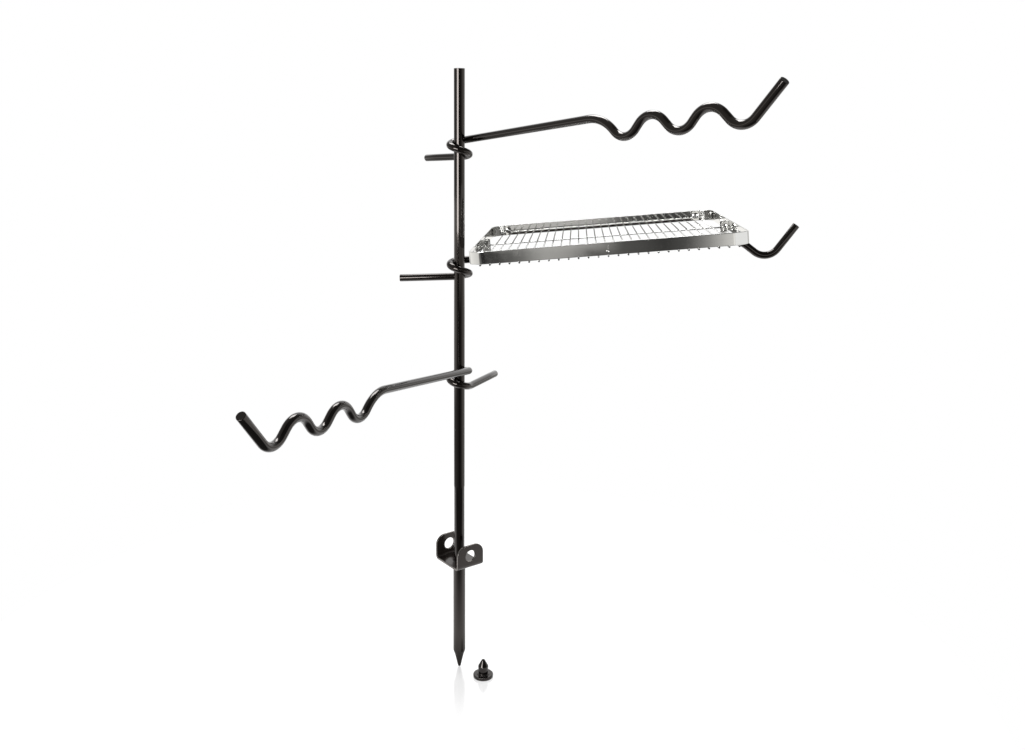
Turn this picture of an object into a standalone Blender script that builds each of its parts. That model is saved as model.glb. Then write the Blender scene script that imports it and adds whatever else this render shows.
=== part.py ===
# Campfire grill stand, built as its separate pieces in one frame, in metres, +Z up.
# The origin is the point of the ground spike, and the mast's axis is the Z axis.
# Seen from -Y, the grill arm reaches to the right and the lower wave arm to the front left.

import math

import bmesh
import bpy
from mathutils import Matrix, Vector

# Fits between pieces
FIT_GAP = 0.0003            # gap between pieces that touch on the real stand
ROUND_SIDES = 32            # facets round the tubes and turned pieces
ROD_RING = 4                # bevel resolution of a bent bar: 12 facets round it

# Mast and ground spike
MAST_DIAMETER = 0.01905
MAST_WALL = 0.0015
MAST_TOP = 1.0968           # height of the open top end
SLEEVE_WALL = 0.0013
TIP_LENGTH = 0.027          # cone that shows below the sleeve
TIP_POINT_DIAMETER = 0.0056
ROLL_LENGTH = 0.0065        # length over which the sleeve's lower end is rolled in
ROLL_DEPTH = 0.0024         # how far it is rolled in
SHANK_LENGTH = 0.035        # tip's shank inside the sleeve
PIN_DIAMETER = 0.005
PIN_ABOVE_ROLL = 0.009

# Foot bracket, a bent plate that a boot or a hammer drives down
BRACKET_YAW = -53.2         # degrees, direction in which the front ear faces
BRACKET_LENGTH = 0.0738     # across the outer faces of the two ears
BRACKET_WIDTH = 0.0552
BRACKET_PLATE = 0.004
BRACKET_UNDERSIDE = 0.2066
BRACKET_HEIGHT = 0.0435
BRACKET_BEND = 0.0035       # inner radius of the bends
EAR_CORNER = 0.0176
EAR_HOLE = 0.0210
EAR_HOLE_DROP = 0.0197      # hole centre below the ear's top
WELD_LEG = 0.0032

# Bent arms of round bar, each looped once round the mast
BAR_DIAMETER = 0.0127
LOOP_CLEARANCE = 0.0010     # between the loop and the mast, before the loop leans on it
LOOP_DROP = 0.0278          # fall of the bar over its one turn
LOOP_EXIT_SLOPE = 0.22      # downward slope of the bar as it leaves the turn
TAIL_SLOPE = 0.044          # fall of the straight tail
TAIL_EASE = 0.014           # bent stretch between the turn and the straight tail
WAVE_TAIL = 0.131           # tail end from the mast's axis
GRILL_TAIL = 0.1087

# Wave arms: the hooks for pots are three troughs, the last one turned up as a handle
WAVE_REACH = 0.3919         # mast's axis to the first trough, along the arm
WAVE_DROP = 0.0190          # middle line of the waves below the straight bar
WAVE_SLANT = -1.3           # degrees, middle line against the straight bar
WAVE_PITCH = 0.1055
WAVE_FLANK = 44.9           # degrees, slope of the straights between bends
TROUGH_BEND = 0.0302
CREST_BEND = 0.0343
SHOULDER_BEND = 0.072
HANDLE_RISE = 40.6          # degrees
HANDLE_LENGTH = 0.0881

TOP_ARM_DROP = 0.1204       # below the mast's top
TOP_ARM_YAW = -52.6
TOP_ARM_RISE = 5.82
LOWER_ARM_DROP = 0.1961     # below the grill arm
LOWER_ARM_YAW = -110.4
LOWER_ARM_RISE = 7.73

# Grill arm: straight under the grate, then one trough and a handle
GRILL_ARM_DROP = 0.2127     # below the top arm
GRILL_ARM_YAW = -3.76
GRILL_ARM_RISE = 5.25
GRILL_TROUGH_BEYOND = 0.0618  # trough past the grate's far edge
GRILL_TROUGH_DEPTH = 0.0433
GRILL_TROUGH_BEND = 0.0275
GRILL_SHOULDER_BEND = 0.050
GRILL_DESCENT = 42.3        # degrees
GRILL_HANDLE_RISE = 48.8
GRILL_HANDLE_LENGTH = 0.0800

# Grate
GRATE_LENGTH = 0.433        # outside, along the arm
GRATE_DEPTH = 0.449
GRATE_CORNER = 0.026
GRATE_CLEARANCE = 0.0405    # mast's axis to the grate's near edge
STRIP_HEIGHT = 0.0198
STRIP_THICKNESS = 0.0016
WIRE_DIAMETER = 0.0026
WIRE_COUNT = 27
WIRE_MARGIN = 0.01825       # first and last wire from the grate's ends
SUPPORT_INSET = 0.1225      # support wires from the grate's sides
GRATE_STANDOFF = 0.0151     # middle of the wires above the middle of the arm
HANGER_REACH = 0.0075       # how far a hanger stands in from its strip
HANGER_THICKNESS = 0.002
HANGER_DROP = 0.003         # hanger's top below the strip's rim
HANGER_SKIRT = 0.0085       # hanger below the arm's middle
HANGER_CORNER = 0.003
RIVET_DIAMETER = 0.004
RIVET_HEAD = 0.009
RIVET_HEAD_HEIGHT = 0.0018
STUD_HEAD = 0.0115          # flat-headed rivets on the back strip
STUD_HEAD_HEIGHT = 0.0012

# Drive plug, which closes the sleeve while it is hammered in, standing on the ground
PLUG_X = 0.0457
PLUG_Y = -0.0343
PLUG_HEAD_DIAMETER = 0.0364
PLUG_HEAD_HEIGHT = 0.0055
PLUG_EDGE = 0.0010
PLUG_COLLAR = 0.0011
PLUG_HEIGHT = 0.0335
PLUG_CONE = 0.0128
PLUG_POINT_DIAMETER = 0.0060

MAST_RADIUS = MAST_DIAMETER / 2
BAR_RADIUS = BAR_DIAMETER / 2
SLEEVE_BORE_RADIUS = MAST_RADIUS + FIT_GAP
SLEEVE_RADIUS = SLEEVE_BORE_RADIUS + SLEEVE_WALL
SLEEVE_TOP = BRACKET_UNDERSIDE + BRACKET_PLATE
ROLL_TOP = TIP_LENGTH + ROLL_LENGTH
PIN_HEIGHT = ROLL_TOP + PIN_ABOVE_ROLL
SHANK_TOP = TIP_LENGTH + SHANK_LENGTH
MAST_BOTTOM = SHANK_TOP + FIT_GAP
LOOP_RADIUS = MAST_RADIUS + BAR_RADIUS + LOOP_CLEARANCE
LOOP_LEAN = LOOP_CLEARANCE - FIT_GAP
TOP_ARM_HEIGHT = MAST_TOP - TOP_ARM_DROP
GRILL_ARM_HEIGHT = TOP_ARM_HEIGHT - GRILL_ARM_DROP
LOWER_ARM_HEIGHT = GRILL_ARM_HEIGHT - LOWER_ARM_DROP
WIRE_RADIUS = WIRE_DIAMETER / 2
STRIP_LOW = WIRE_RADIUS + FIT_GAP
STRIP_HIGH = STRIP_LOW + STRIP_HEIGHT


def clear_scene():
    for old in list(bpy.data.objects):
        bpy.data.objects.remove(old, do_unlink=True)


def paint(name, colour, roughness, metallic):
    material = bpy.data.materials.new(name)
    material.use_nodes = True
    shader = material.node_tree.nodes["Principled BSDF"]
    shader.inputs["Base Color"].default_value = (*colour, 1.0)
    shader.inputs["Roughness"].default_value = roughness
    shader.inputs["Metallic"].default_value = metallic
    material.diffuse_color = (*colour, 1.0)
    return material


def add_object(name, data, material, parent=None):
    """Link a mesh or curve as the named sub-part, and put its material on it."""
    data.materials.append(material)
    piece = bpy.data.objects.new(name, data)
    bpy.context.collection.objects.link(piece)
    piece.parent = parent
    return piece


def add_empty(name, matrix, parent=None):
    empty = bpy.data.objects.new(name, None)
    bpy.context.collection.objects.link(empty)
    empty.parent = parent
    empty.matrix_local = matrix
    return empty


def mesh_from(bm, name, smooth_angle=None):
    """Finish a bmesh: outward faces, then shading that is smooth below the given angle."""
    bmesh.ops.recalc_face_normals(bm, faces=bm.faces)
    mesh = bpy.data.meshes.new(name)
    bm.to_mesh(mesh)
    bm.free()
    if smooth_angle is not None:
        mesh.shade_smooth()
        mesh.set_sharp_from_angle(angle=math.radians(smooth_angle))
    return mesh


def turned_mesh(name, profile, closed, sides=ROUND_SIDES):
    """Turn a profile of (radius, height) points about Z.

    A closed profile is a ring section; an open one starts and ends on the axis.
    """
    bm = bmesh.new()
    points = [bm.verts.new((radius, 0.0, height)) for radius, height in profile]
    pairs = list(zip(points, points[1:]))
    if closed:
        pairs.append((points[-1], points[0]))
    edges = [bm.edges.new(pair) for pair in pairs]
    bmesh.ops.spin(
        bm,
        geom=points + edges,
        cent=(0.0, 0.0, 0.0),
        axis=(0.0, 0.0, 1.0),
        angle=math.tau,
        steps=sides,
        use_merge=True,
    )
    bmesh.ops.remove_doubles(bm, verts=bm.verts, dist=1e-6)
    return mesh_from(bm, name, smooth_angle=35)


def arc_points(centre, radius, start, end, steps):
    """Points of a flat arc, angles in degrees, ends included."""
    points = []
    for step in range(steps + 1):
        angle = math.radians(start + (end - start) * step / steps)
        points.append((centre[0] + radius * math.cos(angle), centre[1] + radius * math.sin(angle)))
    return points


def extruded_mesh(name, outline, low, high, smooth_angle=None):
    """Prism on a flat outline of (x, y) points, from height low to height high."""
    bm = bmesh.new()
    base = bm.faces.new([bm.verts.new((x, y, low)) for x, y in outline])
    top = bmesh.ops.extrude_face_region(bm, geom=[base])
    moved = [item for item in top["geom"] if isinstance(item, bmesh.types.BMVert)]
    bmesh.ops.translate(bm, verts=moved, vec=(0.0, 0.0, high - low))
    return mesh_from(bm, name, smooth_angle)


def cutter(name, mesh, matrix, parent=None):
    """Hidden guide that a Boolean uses."""
    guide = bpy.data.objects.new(name, mesh)
    bpy.context.collection.objects.link(guide)
    guide.parent = parent
    guide.matrix_local = matrix
    guide.hide_render = True
    guide.display_type = "WIRE"
    return guide


def boolean(piece, guide, operation):
    modifier = piece.modifiers.new(guide.name, "BOOLEAN")
    modifier.operation = operation
    modifier.object = guide
    modifier.solver = "EXACT"


def round_cutter(name, radius, length, matrix, parent=None, sides=ROUND_SIDES):
    """Cylinder about the matrix's Z axis, centred on its origin."""
    outline = arc_points((0.0, 0.0), radius, 0, 360 - 360 / sides, sides - 1)
    return cutter(name, extruded_mesh(name, outline, -length / 2, length / 2), matrix, parent)


def bent_line(corners, radii, degrees_per_step=11.0):
    """Straight runs through the corners with a round bend at each inner corner.

    A bend takes at most 49% of the shorter run beside it, so that bends never meet.
    """
    corners = [Vector(corner) for corner in corners]
    points = [corners[0]]
    for index in range(1, len(corners) - 1):
        corner = corners[index]
        back = corners[index - 1] - corner
        ahead = corners[index + 1] - corner
        room = 0.49 * min(back.length, ahead.length)
        back.normalize()
        ahead.normalize()
        turn = math.pi - back.angle(ahead)
        tangent = min(radii[index - 1] * math.tan(turn / 2), room)
        radius = tangent / math.tan(turn / 2)
        start = corner + back * tangent
        centre = corner + (back + ahead).normalized() * (radius / math.cos(turn / 2))
        steps = max(2, math.ceil(math.degrees(turn) / degrees_per_step))
        spoke = start - centre
        sense = 1.0 if back.cross(ahead) < 0 else -1.0
        for step in range(steps + 1):
            angle = sense * turn * step / steps
            cosine = math.cos(angle)
            sine = math.sin(angle)
            turned = Vector((cosine * spoke.x - sine * spoke.y, sine * spoke.x + cosine * spoke.y))
            points.append(centre + turned)
    points.append(corners[-1])
    return points


def loop_height(share, rise):
    """Height in the turn, a cubic from the arm's slope to the exit slope."""
    length = math.tau * LOOP_RADIUS
    start_slope = -math.tan(math.radians(rise))
    height = -LOOP_DROP * (3 * share**2 - 2 * share**3)
    height += length * start_slope * (share**3 - 2 * share**2 + share)
    height += length * -LOOP_EXIT_SLOPE * (share**3 - share**2)
    return height


def arm_path(profile, rise, tail):
    """Middle line of one arm, from its outer end to the end of its tail.

    The profile is the outer part as (distance along the arm, height off the straight bar).
    The bar comes in beside the mast, turns once round it while it falls, and leaves as a tail.
    """
    tilt = math.radians(rise)
    points = []
    for along, off in reversed(profile):
        x = along * math.cos(tilt) - off * math.sin(tilt)
        z = along * math.sin(tilt) + off * math.cos(tilt)
        points.append((x, LOOP_RADIUS, z))
    turns = 30
    for step in range(turns + 1):
        share = step / turns
        angle = math.radians(90) + math.tau * share
        # the lean is nought where the straight bar joins, and full at the sides
        x = LOOP_RADIUS * math.cos(angle) + LOOP_LEAN * math.sin(math.pi * share)
        points.append((x, LOOP_RADIUS * math.sin(angle), loop_height(share, rise)))
    height = loop_height(1.0, rise)
    ease_steps = 4
    for step in range(1, ease_steps + 1):
        share = step / ease_steps
        slope_fall = LOOP_EXIT_SLOPE * share - (LOOP_EXIT_SLOPE - TAIL_SLOPE) * share**2 / 2
        points.append((-TAIL_EASE * share, LOOP_RADIUS, height - TAIL_EASE * slope_fall))
    ease_end = points[-1][2]
    points.append((-tail, LOOP_RADIUS, ease_end - (tail - TAIL_EASE) * TAIL_SLOPE))
    return points


def bar_curve(name, points, radius):
    """Round bar along the points, with flat cut ends."""
    curve = bpy.data.curves.new(name, "CURVE")
    curve.dimensions = "3D"
    curve.twist_mode = "MINIMUM"
    curve.bevel_depth = radius
    curve.bevel_resolution = ROD_RING
    curve.use_fill_caps = True
    spline = curve.splines.new("POLY")
    spline.points.add(len(points) - 1)
    for target, point in zip(spline.points, points):
        target.co = (*point, 1.0)
    spline.use_smooth = True
    return curve


def wave_profile():
    """Outer part of a wave arm: shoulder, three troughs, two crests and the handle."""
    slant = math.radians(WAVE_SLANT)
    flank = math.radians(WAVE_FLANK)
    swing = WAVE_PITCH / 4 * math.tan(flank)
    along = Vector((math.cos(slant), math.sin(slant)))
    square = Vector((-math.sin(slant), math.cos(slant)))
    middle = Vector((WAVE_REACH, -WAVE_DROP))
    corners = []
    for half in range(5):
        side = -1 if half % 2 == 0 else 1
        corners.append(middle + along * (WAVE_PITCH / 2 * half) + square * (swing * side))
    descent = flank - slant
    shoulder = Vector((corners[0].x + corners[0].y / math.tan(descent), 0.0))
    rise = math.radians(HANDLE_RISE)
    tip = corners[-1] + Vector((math.cos(rise), math.sin(rise))) * HANDLE_LENGTH
    start = Vector((LOOP_RADIUS, 0.0))
    bends = [SHOULDER_BEND, TROUGH_BEND, CREST_BEND, TROUGH_BEND, CREST_BEND, TROUGH_BEND]
    return bent_line([start, shoulder] + corners + [tip], bends)


def grill_profile():
    """Outer part of the grill arm: one trough, then the handle."""
    descent = math.radians(GRILL_DESCENT)
    rise = math.radians(GRILL_HANDLE_RISE)
    reach = GRATE_CLEARANCE + GRATE_LENGTH + GRILL_TROUGH_BEYOND
    trough = Vector((reach, -GRILL_TROUGH_DEPTH))
    shoulder = Vector((trough.x - GRILL_TROUGH_DEPTH / math.tan(descent), 0.0))
    tip = trough + Vector((math.cos(rise), math.sin(rise))) * GRILL_HANDLE_LENGTH
    start = Vector((LOOP_RADIUS, 0.0))
    return bent_line([start, shoulder, trough, tip], [GRILL_SHOULDER_BEND, GRILL_TROUGH_BEND])


def add_arm(name, profile, height, yaw, rise, tail, material):
    """One arm, with its origin on the mast's axis, which it swivels about."""
    points = arm_path(profile, rise, tail)
    arm = add_object(name, bar_curve(name, points, BAR_RADIUS), material)
    arm.location = (0.0, 0.0, height)
    arm.rotation_euler = (0.0, 0.0, math.radians(yaw))
    return arm


def build_spike():
    """Ground spike: sleeve, pointed tip driven into it, and the pin across both."""
    steel = paint("spike_black", (0.020, 0.018, 0.018), 0.34, 0.0)
    mouth = SLEEVE_RADIUS - ROLL_DEPTH
    profile = [
        (SLEEVE_RADIUS, SLEEVE_TOP),
        (SLEEVE_RADIUS, ROLL_TOP),
        (mouth, TIP_LENGTH),
        (mouth - SLEEVE_WALL, TIP_LENGTH),
        (SLEEVE_BORE_RADIUS, ROLL_TOP),
        (SLEEVE_BORE_RADIUS, SLEEVE_TOP),
    ]
    sleeve = add_object("spike_sleeve", turned_mesh("spike_sleeve", profile, True), steel)

    point = TIP_POINT_DIAMETER / 2
    neck = mouth - SLEEVE_WALL - 2 * FIT_GAP
    shank = SLEEVE_BORE_RADIUS - FIT_GAP
    profile = [
        (0.0, SHANK_TOP),
        (shank, SHANK_TOP),
        (shank, ROLL_TOP + FIT_GAP),
        (neck, TIP_LENGTH - FIT_GAP),
        (mouth - FIT_GAP, TIP_LENGTH - FIT_GAP),
        (point, point),
        (point * 0.7, point * 0.3),
        (0.0, 0.0),
    ]
    tip_paint = paint("tip_black", (0.016, 0.015, 0.015), 0.40, 0.0)
    tip = add_object("spike_tip", turned_mesh("spike_tip", profile, False), tip_paint)

    across = Matrix.Rotation(math.radians(BRACKET_YAW + 90), 4, "Z") @ Matrix.Rotation(math.pi / 2, 4, "Y")
    place = Matrix.Translation((0.0, 0.0, PIN_HEIGHT)) @ across
    pin_radius = PIN_DIAMETER / 2
    hole = round_cutter("pin_hole", pin_radius + FIT_GAP, 3 * SLEEVE_RADIUS, place, sides=16)
    boolean(sleeve, hole, "DIFFERENCE")
    boolean(tip, hole, "DIFFERENCE")
    outline = arc_points((0.0, 0.0), pin_radius, 0, 337.5, 15)
    half_pin = SLEEVE_RADIUS - FIT_GAP
    pin_mesh = extruded_mesh("tip_pin", outline, -half_pin, half_pin, smooth_angle=35)
    pin = add_object("tip_pin", pin_mesh, paint("pin_black", (0.012, 0.012, 0.012), 0.45, 0.0))
    pin.matrix_local = place


def build_bracket():
    """Foot bracket: a plate bent up at both ends, each ear rounded and drilled."""
    black = paint("bracket_black", (0.022, 0.019, 0.019), 0.30, 0.0)
    half = BRACKET_LENGTH / 2
    inner = BRACKET_BEND
    outer = BRACKET_BEND + BRACKET_PLATE
    top = BRACKET_HEIGHT
    section = [(half, top), (half - BRACKET_PLATE, top)]
    section += arc_points((half - outer, outer), inner, 0, -90, 4)
    section += arc_points((outer - half, outer), inner, -90, -180, 4)
    section += [(BRACKET_PLATE - half, top), (-half, top)]
    section += arc_points((outer - half, outer), outer, 180, 270, 5)
    section += arc_points((half - outer, outer), outer, 270, 360, 5)
    turn_up = Matrix.Rotation(math.pi / 2, 4, "X")
    mesh = extruded_mesh("foot_bracket", section, -BRACKET_WIDTH / 2, BRACKET_WIDTH / 2)
    mesh.transform(turn_up)
    bracket = add_object("foot_bracket", mesh, black)
    place = Matrix.Translation((0.0, 0.0, BRACKET_UNDERSIDE)) @ Matrix.Rotation(
        math.radians(BRACKET_YAW), 4, "Z"
    )
    bracket.matrix_local = place

    side = BRACKET_WIDTH / 2
    outline = [(-side, -BRACKET_PLATE), (side, -BRACKET_PLATE)]
    outline += arc_points((side - EAR_CORNER, top - EAR_CORNER), EAR_CORNER, 0, 90, 8)
    outline += arc_points((EAR_CORNER - side, top - EAR_CORNER), EAR_CORNER, 90, 180, 8)
    ear_shape = extruded_mesh("ear_outline", outline, -BRACKET_LENGTH, BRACKET_LENGTH)
    along = Matrix.Rotation(math.pi / 2, 4, "Z") @ Matrix.Rotation(math.pi / 2, 4, "X")
    boolean(bracket, cutter("ear_outline", ear_shape, place @ along), "INTERSECT")
    hole_place = place @ Matrix.Translation((0.0, 0.0, top - EAR_HOLE_DROP)) @ Matrix.Rotation(
        math.pi / 2, 4, "Y"
    )
    hole = round_cutter("ear_hole", EAR_HOLE / 2, 2 * BRACKET_LENGTH, hole_place, sides=28)
    boolean(bracket, hole, "DIFFERENCE")
    bore = round_cutter("bracket_bore", SLEEVE_RADIUS + FIT_GAP, 4 * BRACKET_PLATE, place)
    boolean(bracket, bore, "DIFFERENCE")

    weld_top = BRACKET_UNDERSIDE - FIT_GAP
    inside = SLEEVE_RADIUS + FIT_GAP
    profile = [
        (inside, weld_top),
        (inside + WELD_LEG, weld_top),
        (inside + 0.75 * WELD_LEG, weld_top - 0.45 * WELD_LEG),
        (inside + 0.45 * WELD_LEG, weld_top - 0.75 * WELD_LEG),
        (inside, weld_top - WELD_LEG),
    ]
    weld_paint = paint("weld_black", (0.022, 0.019, 0.019), 0.42, 0.0)
    add_object("sleeve_weld", turned_mesh("sleeve_weld", profile, True), weld_paint)


def build_mast():
    """Mast: a plain tube with an open top, standing in the sleeve on the tip's shank."""
    bore = MAST_RADIUS - MAST_WALL
    profile = [
        (MAST_RADIUS, MAST_TOP),
        (MAST_RADIUS, MAST_BOTTOM),
        (bore, MAST_BOTTOM),
        (bore, MAST_TOP),
    ]
    black = paint("mast_black", (0.022, 0.018, 0.018), 0.30, 0.0)
    add_object("mast_tube", turned_mesh("mast_tube", profile, True), black)


def build_arms():
    """Three bent arms, free to swivel on the mast and held by the bite of their loops."""
    black = paint("arm_black", (0.018, 0.016, 0.016), 0.26, 0.0)
    wave = wave_profile()
    add_arm("top_arm", wave, TOP_ARM_HEIGHT, TOP_ARM_YAW, TOP_ARM_RISE, WAVE_TAIL, black)
    add_arm("lower_arm", wave, LOWER_ARM_HEIGHT, LOWER_ARM_YAW, LOWER_ARM_RISE, WAVE_TAIL, black)
    grill = grill_profile()
    add_arm("grill_arm", grill, GRILL_ARM_HEIGHT, GRILL_ARM_YAW, GRILL_ARM_RISE, GRILL_TAIL, black)


def rounded_outline(length, depth, corner, steps=8):
    """Rectangle with round corners, centred on the origin."""
    x = length / 2 - corner
    y = depth / 2 - corner
    points = arc_points((x, y), corner, 0, 90, steps)
    points += arc_points((-x, y), corner, 90, 180, steps)
    points += arc_points((-x, -y), corner, 180, 270, steps)
    points += arc_points((x, -y), corner, 270, 360, steps)
    return points


def half_depth_at(x):
    """Half depth of the grate's outer outline at a place along its length."""
    into_corner = abs(x) - (GRATE_LENGTH / 2 - GRATE_CORNER)
    if into_corner <= 0:
        return GRATE_DEPTH / 2
    reach = math.sqrt(max(GRATE_CORNER**2 - into_corner**2, 0.0))
    return GRATE_DEPTH / 2 - GRATE_CORNER + reach


def add_wire(name, start, end, material, parent):
    """Straight round wire between two points of the grate's own frame."""
    span = Vector(end) - Vector(start)
    outline = arc_points((0.0, 0.0), WIRE_RADIUS, 0, 315, 7)
    mesh = extruded_mesh(name, outline, 0.0, span.length, smooth_angle=60)
    wire = add_object(name, mesh, material, parent)
    turn = span.to_track_quat("Z", "Y").to_matrix().to_4x4()
    wire.matrix_local = Matrix.Translation(start) @ turn
    return wire


def build_grate():
    """Grate: a strip frame on a bed of wires, hung on the grill arm by two hangers."""
    rise = math.radians(GRILL_ARM_RISE)
    swing = Matrix.Rotation(math.radians(GRILL_ARM_YAW), 4, "Z")
    tilt = Matrix.Rotation(-rise, 4, "Y")
    lift = Matrix.Translation((0.0, 0.0, GRILL_ARM_HEIGHT))
    # measured along the tilted arm and square to it
    reach = GRATE_CLEARANCE + GRATE_LENGTH / 2
    seat = Matrix.Translation((reach, LOOP_RADIUS, GRATE_STANDOFF))
    grate = add_empty("grate_seat", lift @ swing @ tilt @ seat)

    chrome = paint("grate_chrome", (0.80, 0.81, 0.82), 0.12, 1.0)
    outer = rounded_outline(GRATE_LENGTH, GRATE_DEPTH, GRATE_CORNER)
    inner = rounded_outline(
        GRATE_LENGTH - 2 * STRIP_THICKNESS,
        GRATE_DEPTH - 2 * STRIP_THICKNESS,
        GRATE_CORNER - STRIP_THICKNESS,
    )
    frame_mesh = extruded_mesh("grate_frame", outer, STRIP_LOW, STRIP_HIGH)
    frame = add_object("grate_frame", frame_mesh, chrome, grate)
    well = extruded_mesh("grate_well", inner, STRIP_LOW - 0.01, STRIP_HIGH + 0.01)
    boolean(frame, cutter("grate_well", well, Matrix.Identity(4), grate), "DIFFERENCE")

    wire_chrome = paint("wire_chrome", (0.78, 0.79, 0.80), 0.18, 1.0)
    pitch = (GRATE_LENGTH - 2 * WIRE_MARGIN) / (WIRE_COUNT - 1)
    for index in range(WIRE_COUNT):
        x = (index - (WIRE_COUNT - 1) / 2) * pitch
        half = half_depth_at(x)
        add_wire(f"cross_wire_{index + 1:02d}", (x, -half, 0.0), (x, half, 0.0), wire_chrome, grate)
    below = -(WIRE_DIAMETER + FIT_GAP)
    end = GRATE_LENGTH / 2 - STRIP_THICKNESS
    for name, side in (("support_wire_front", -1), ("support_wire_back", 1)):
        y = side * (GRATE_DEPTH / 2 - SUPPORT_INSET)
        add_wire(name, (-end, y, below), (end, y, below), wire_chrome, grate)

    build_hangers(frame, grate)
    build_studs(frame, grate)


def hanger_mesh(name):
    """Channel that opens away from its strip, which lies at x = 0 on the hanger's +X side."""
    inside = BAR_RADIUS + 2 * FIT_GAP
    outside = inside + HANGER_THICKNESS
    back = -FIT_GAP
    web = back - HANGER_THICKNESS
    lip = back - HANGER_REACH
    outline = [
        (back, -outside),
        (back, outside),
        (lip, outside),
        (lip, inside),
        (web, inside),
        (web, -inside),
        (lip, -inside),
        (lip, -outside),
    ]
    mesh = extruded_mesh(name, outline, -GRATE_STANDOFF - HANGER_SKIRT, STRIP_HIGH - HANGER_DROP)
    bm = bmesh.new()
    bm.from_mesh(mesh)
    free = []
    for edge in bm.edges:
        first, second = (vertex.co for vertex in edge.verts)
        if max(first.x, second.x) < lip + 1e-6 and abs(first.z - second.z) < 1e-6:
            free.append(edge)
    bmesh.ops.bevel(bm, geom=free, offset=HANGER_CORNER, segments=3, profile=0.5, affect="EDGES")
    bm.to_mesh(mesh)
    bm.free()
    return mesh


def rivet_mesh(name, head, head_height, grip, shank):
    """Rivet along Z: its round head stands above z = 0, and its closed end below the grip."""
    profile = [
        (0.0, head_height + FIT_GAP),
        (0.6 * head, 0.85 * head_height + FIT_GAP),
        (head, FIT_GAP),
        (shank, FIT_GAP),
        (shank, -grip - FIT_GAP),
        (1.8 * shank, -grip - FIT_GAP),
        (1.4 * shank, -grip - FIT_GAP - 0.5 * shank),
        (0.0, -grip - FIT_GAP - 0.7 * shank),
    ]
    return turned_mesh(name, profile, False, sides=16)


def build_hangers(frame, grate):
    """Slotted channel riveted inside each end strip, which drops over the arm."""
    steel = paint("hanger_chrome", (0.72, 0.73, 0.74), 0.22, 1.0)
    rivet_steel = paint("rivet_chrome", (0.78, 0.79, 0.80), 0.20, 1.0)
    slot = BAR_RADIUS + FIT_GAP
    floor = -GRATE_STANDOFF - 2 * HANGER_SKIRT
    opening = [(-slot, floor), (slot, floor)]
    opening += arc_points((0.0, -GRATE_STANDOFF), slot, 0, 180, 12)
    along = Matrix.Rotation(math.pi / 2, 4, "Z") @ Matrix.Rotation(math.pi / 2, 4, "X")
    shank = RIVET_DIAMETER / 2
    middle = (STRIP_LOW + STRIP_HIGH) / 2
    for name, sign in (("left", -1), ("right", 1)):
        inside = sign * (GRATE_LENGTH / 2 - STRIP_THICKNESS)
        facing = Matrix.Rotation(0.0 if sign > 0 else math.pi, 4, "Z")
        hanger = add_object(f"hanger_{name}", hanger_mesh(f"hanger_{name}"), steel, grate)
        hanger.matrix_local = Matrix.Translation((inside, 0.0, 0.0)) @ facing
        guide = extruded_mesh(f"hanger_slot_{name}", opening, -2 * HANGER_REACH, 2 * HANGER_REACH)
        place = Matrix.Translation((inside, 0.0, 0.0)) @ along
        boolean(hanger, cutter(f"hanger_slot_{name}", guide, place, grate), "DIFFERENCE")

        outward = Matrix.Rotation(sign * math.pi / 2, 4, "Y")
        place = Matrix.Translation((sign * GRATE_LENGTH / 2, 0.0, middle)) @ outward
        hole = round_cutter(f"rivet_hole_{name}", shank + FIT_GAP, 0.03, place, grate, 16)
        boolean(frame, hole, "DIFFERENCE")
        boolean(hanger, hole, "DIFFERENCE")
        grip = STRIP_THICKNESS + HANGER_THICKNESS + FIT_GAP
        rivet_name = f"hanger_rivet_{name}"
        data = rivet_mesh(rivet_name, RIVET_HEAD / 2, RIVET_HEAD_HEIGHT, grip, shank)
        add_object(rivet_name, data, rivet_steel, grate).matrix_local = place


def build_studs(frame, grate):
    """Flat round heads on the inside of the back strip, near its ends."""
    rivet_steel = paint("stud_chrome", (0.76, 0.77, 0.78), 0.20, 1.0)
    shank = RIVET_DIAMETER / 2
    middle = (STRIP_LOW + STRIP_HIGH) / 2
    for name, sign in (("left", -1), ("right", 1)):
        # at the ends of the strip's straight run
        x = sign * (GRATE_LENGTH / 2 - GRATE_CORNER - STUD_HEAD / 2)
        y = GRATE_DEPTH / 2 - STRIP_THICKNESS
        place = Matrix.Translation((x, y, middle)) @ Matrix.Rotation(math.pi / 2, 4, "X")
        hole = round_cutter(f"stud_hole_{name}", shank + FIT_GAP, 0.02, place, grate, 16)
        boolean(frame, hole, "DIFFERENCE")
        stud_name = f"strip_rivet_{name}"
        data = rivet_mesh(stud_name, STUD_HEAD / 2, STUD_HEAD_HEIGHT, STRIP_THICKNESS, shank)
        add_object(stud_name, data, rivet_steel, grate).matrix_local = place


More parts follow.
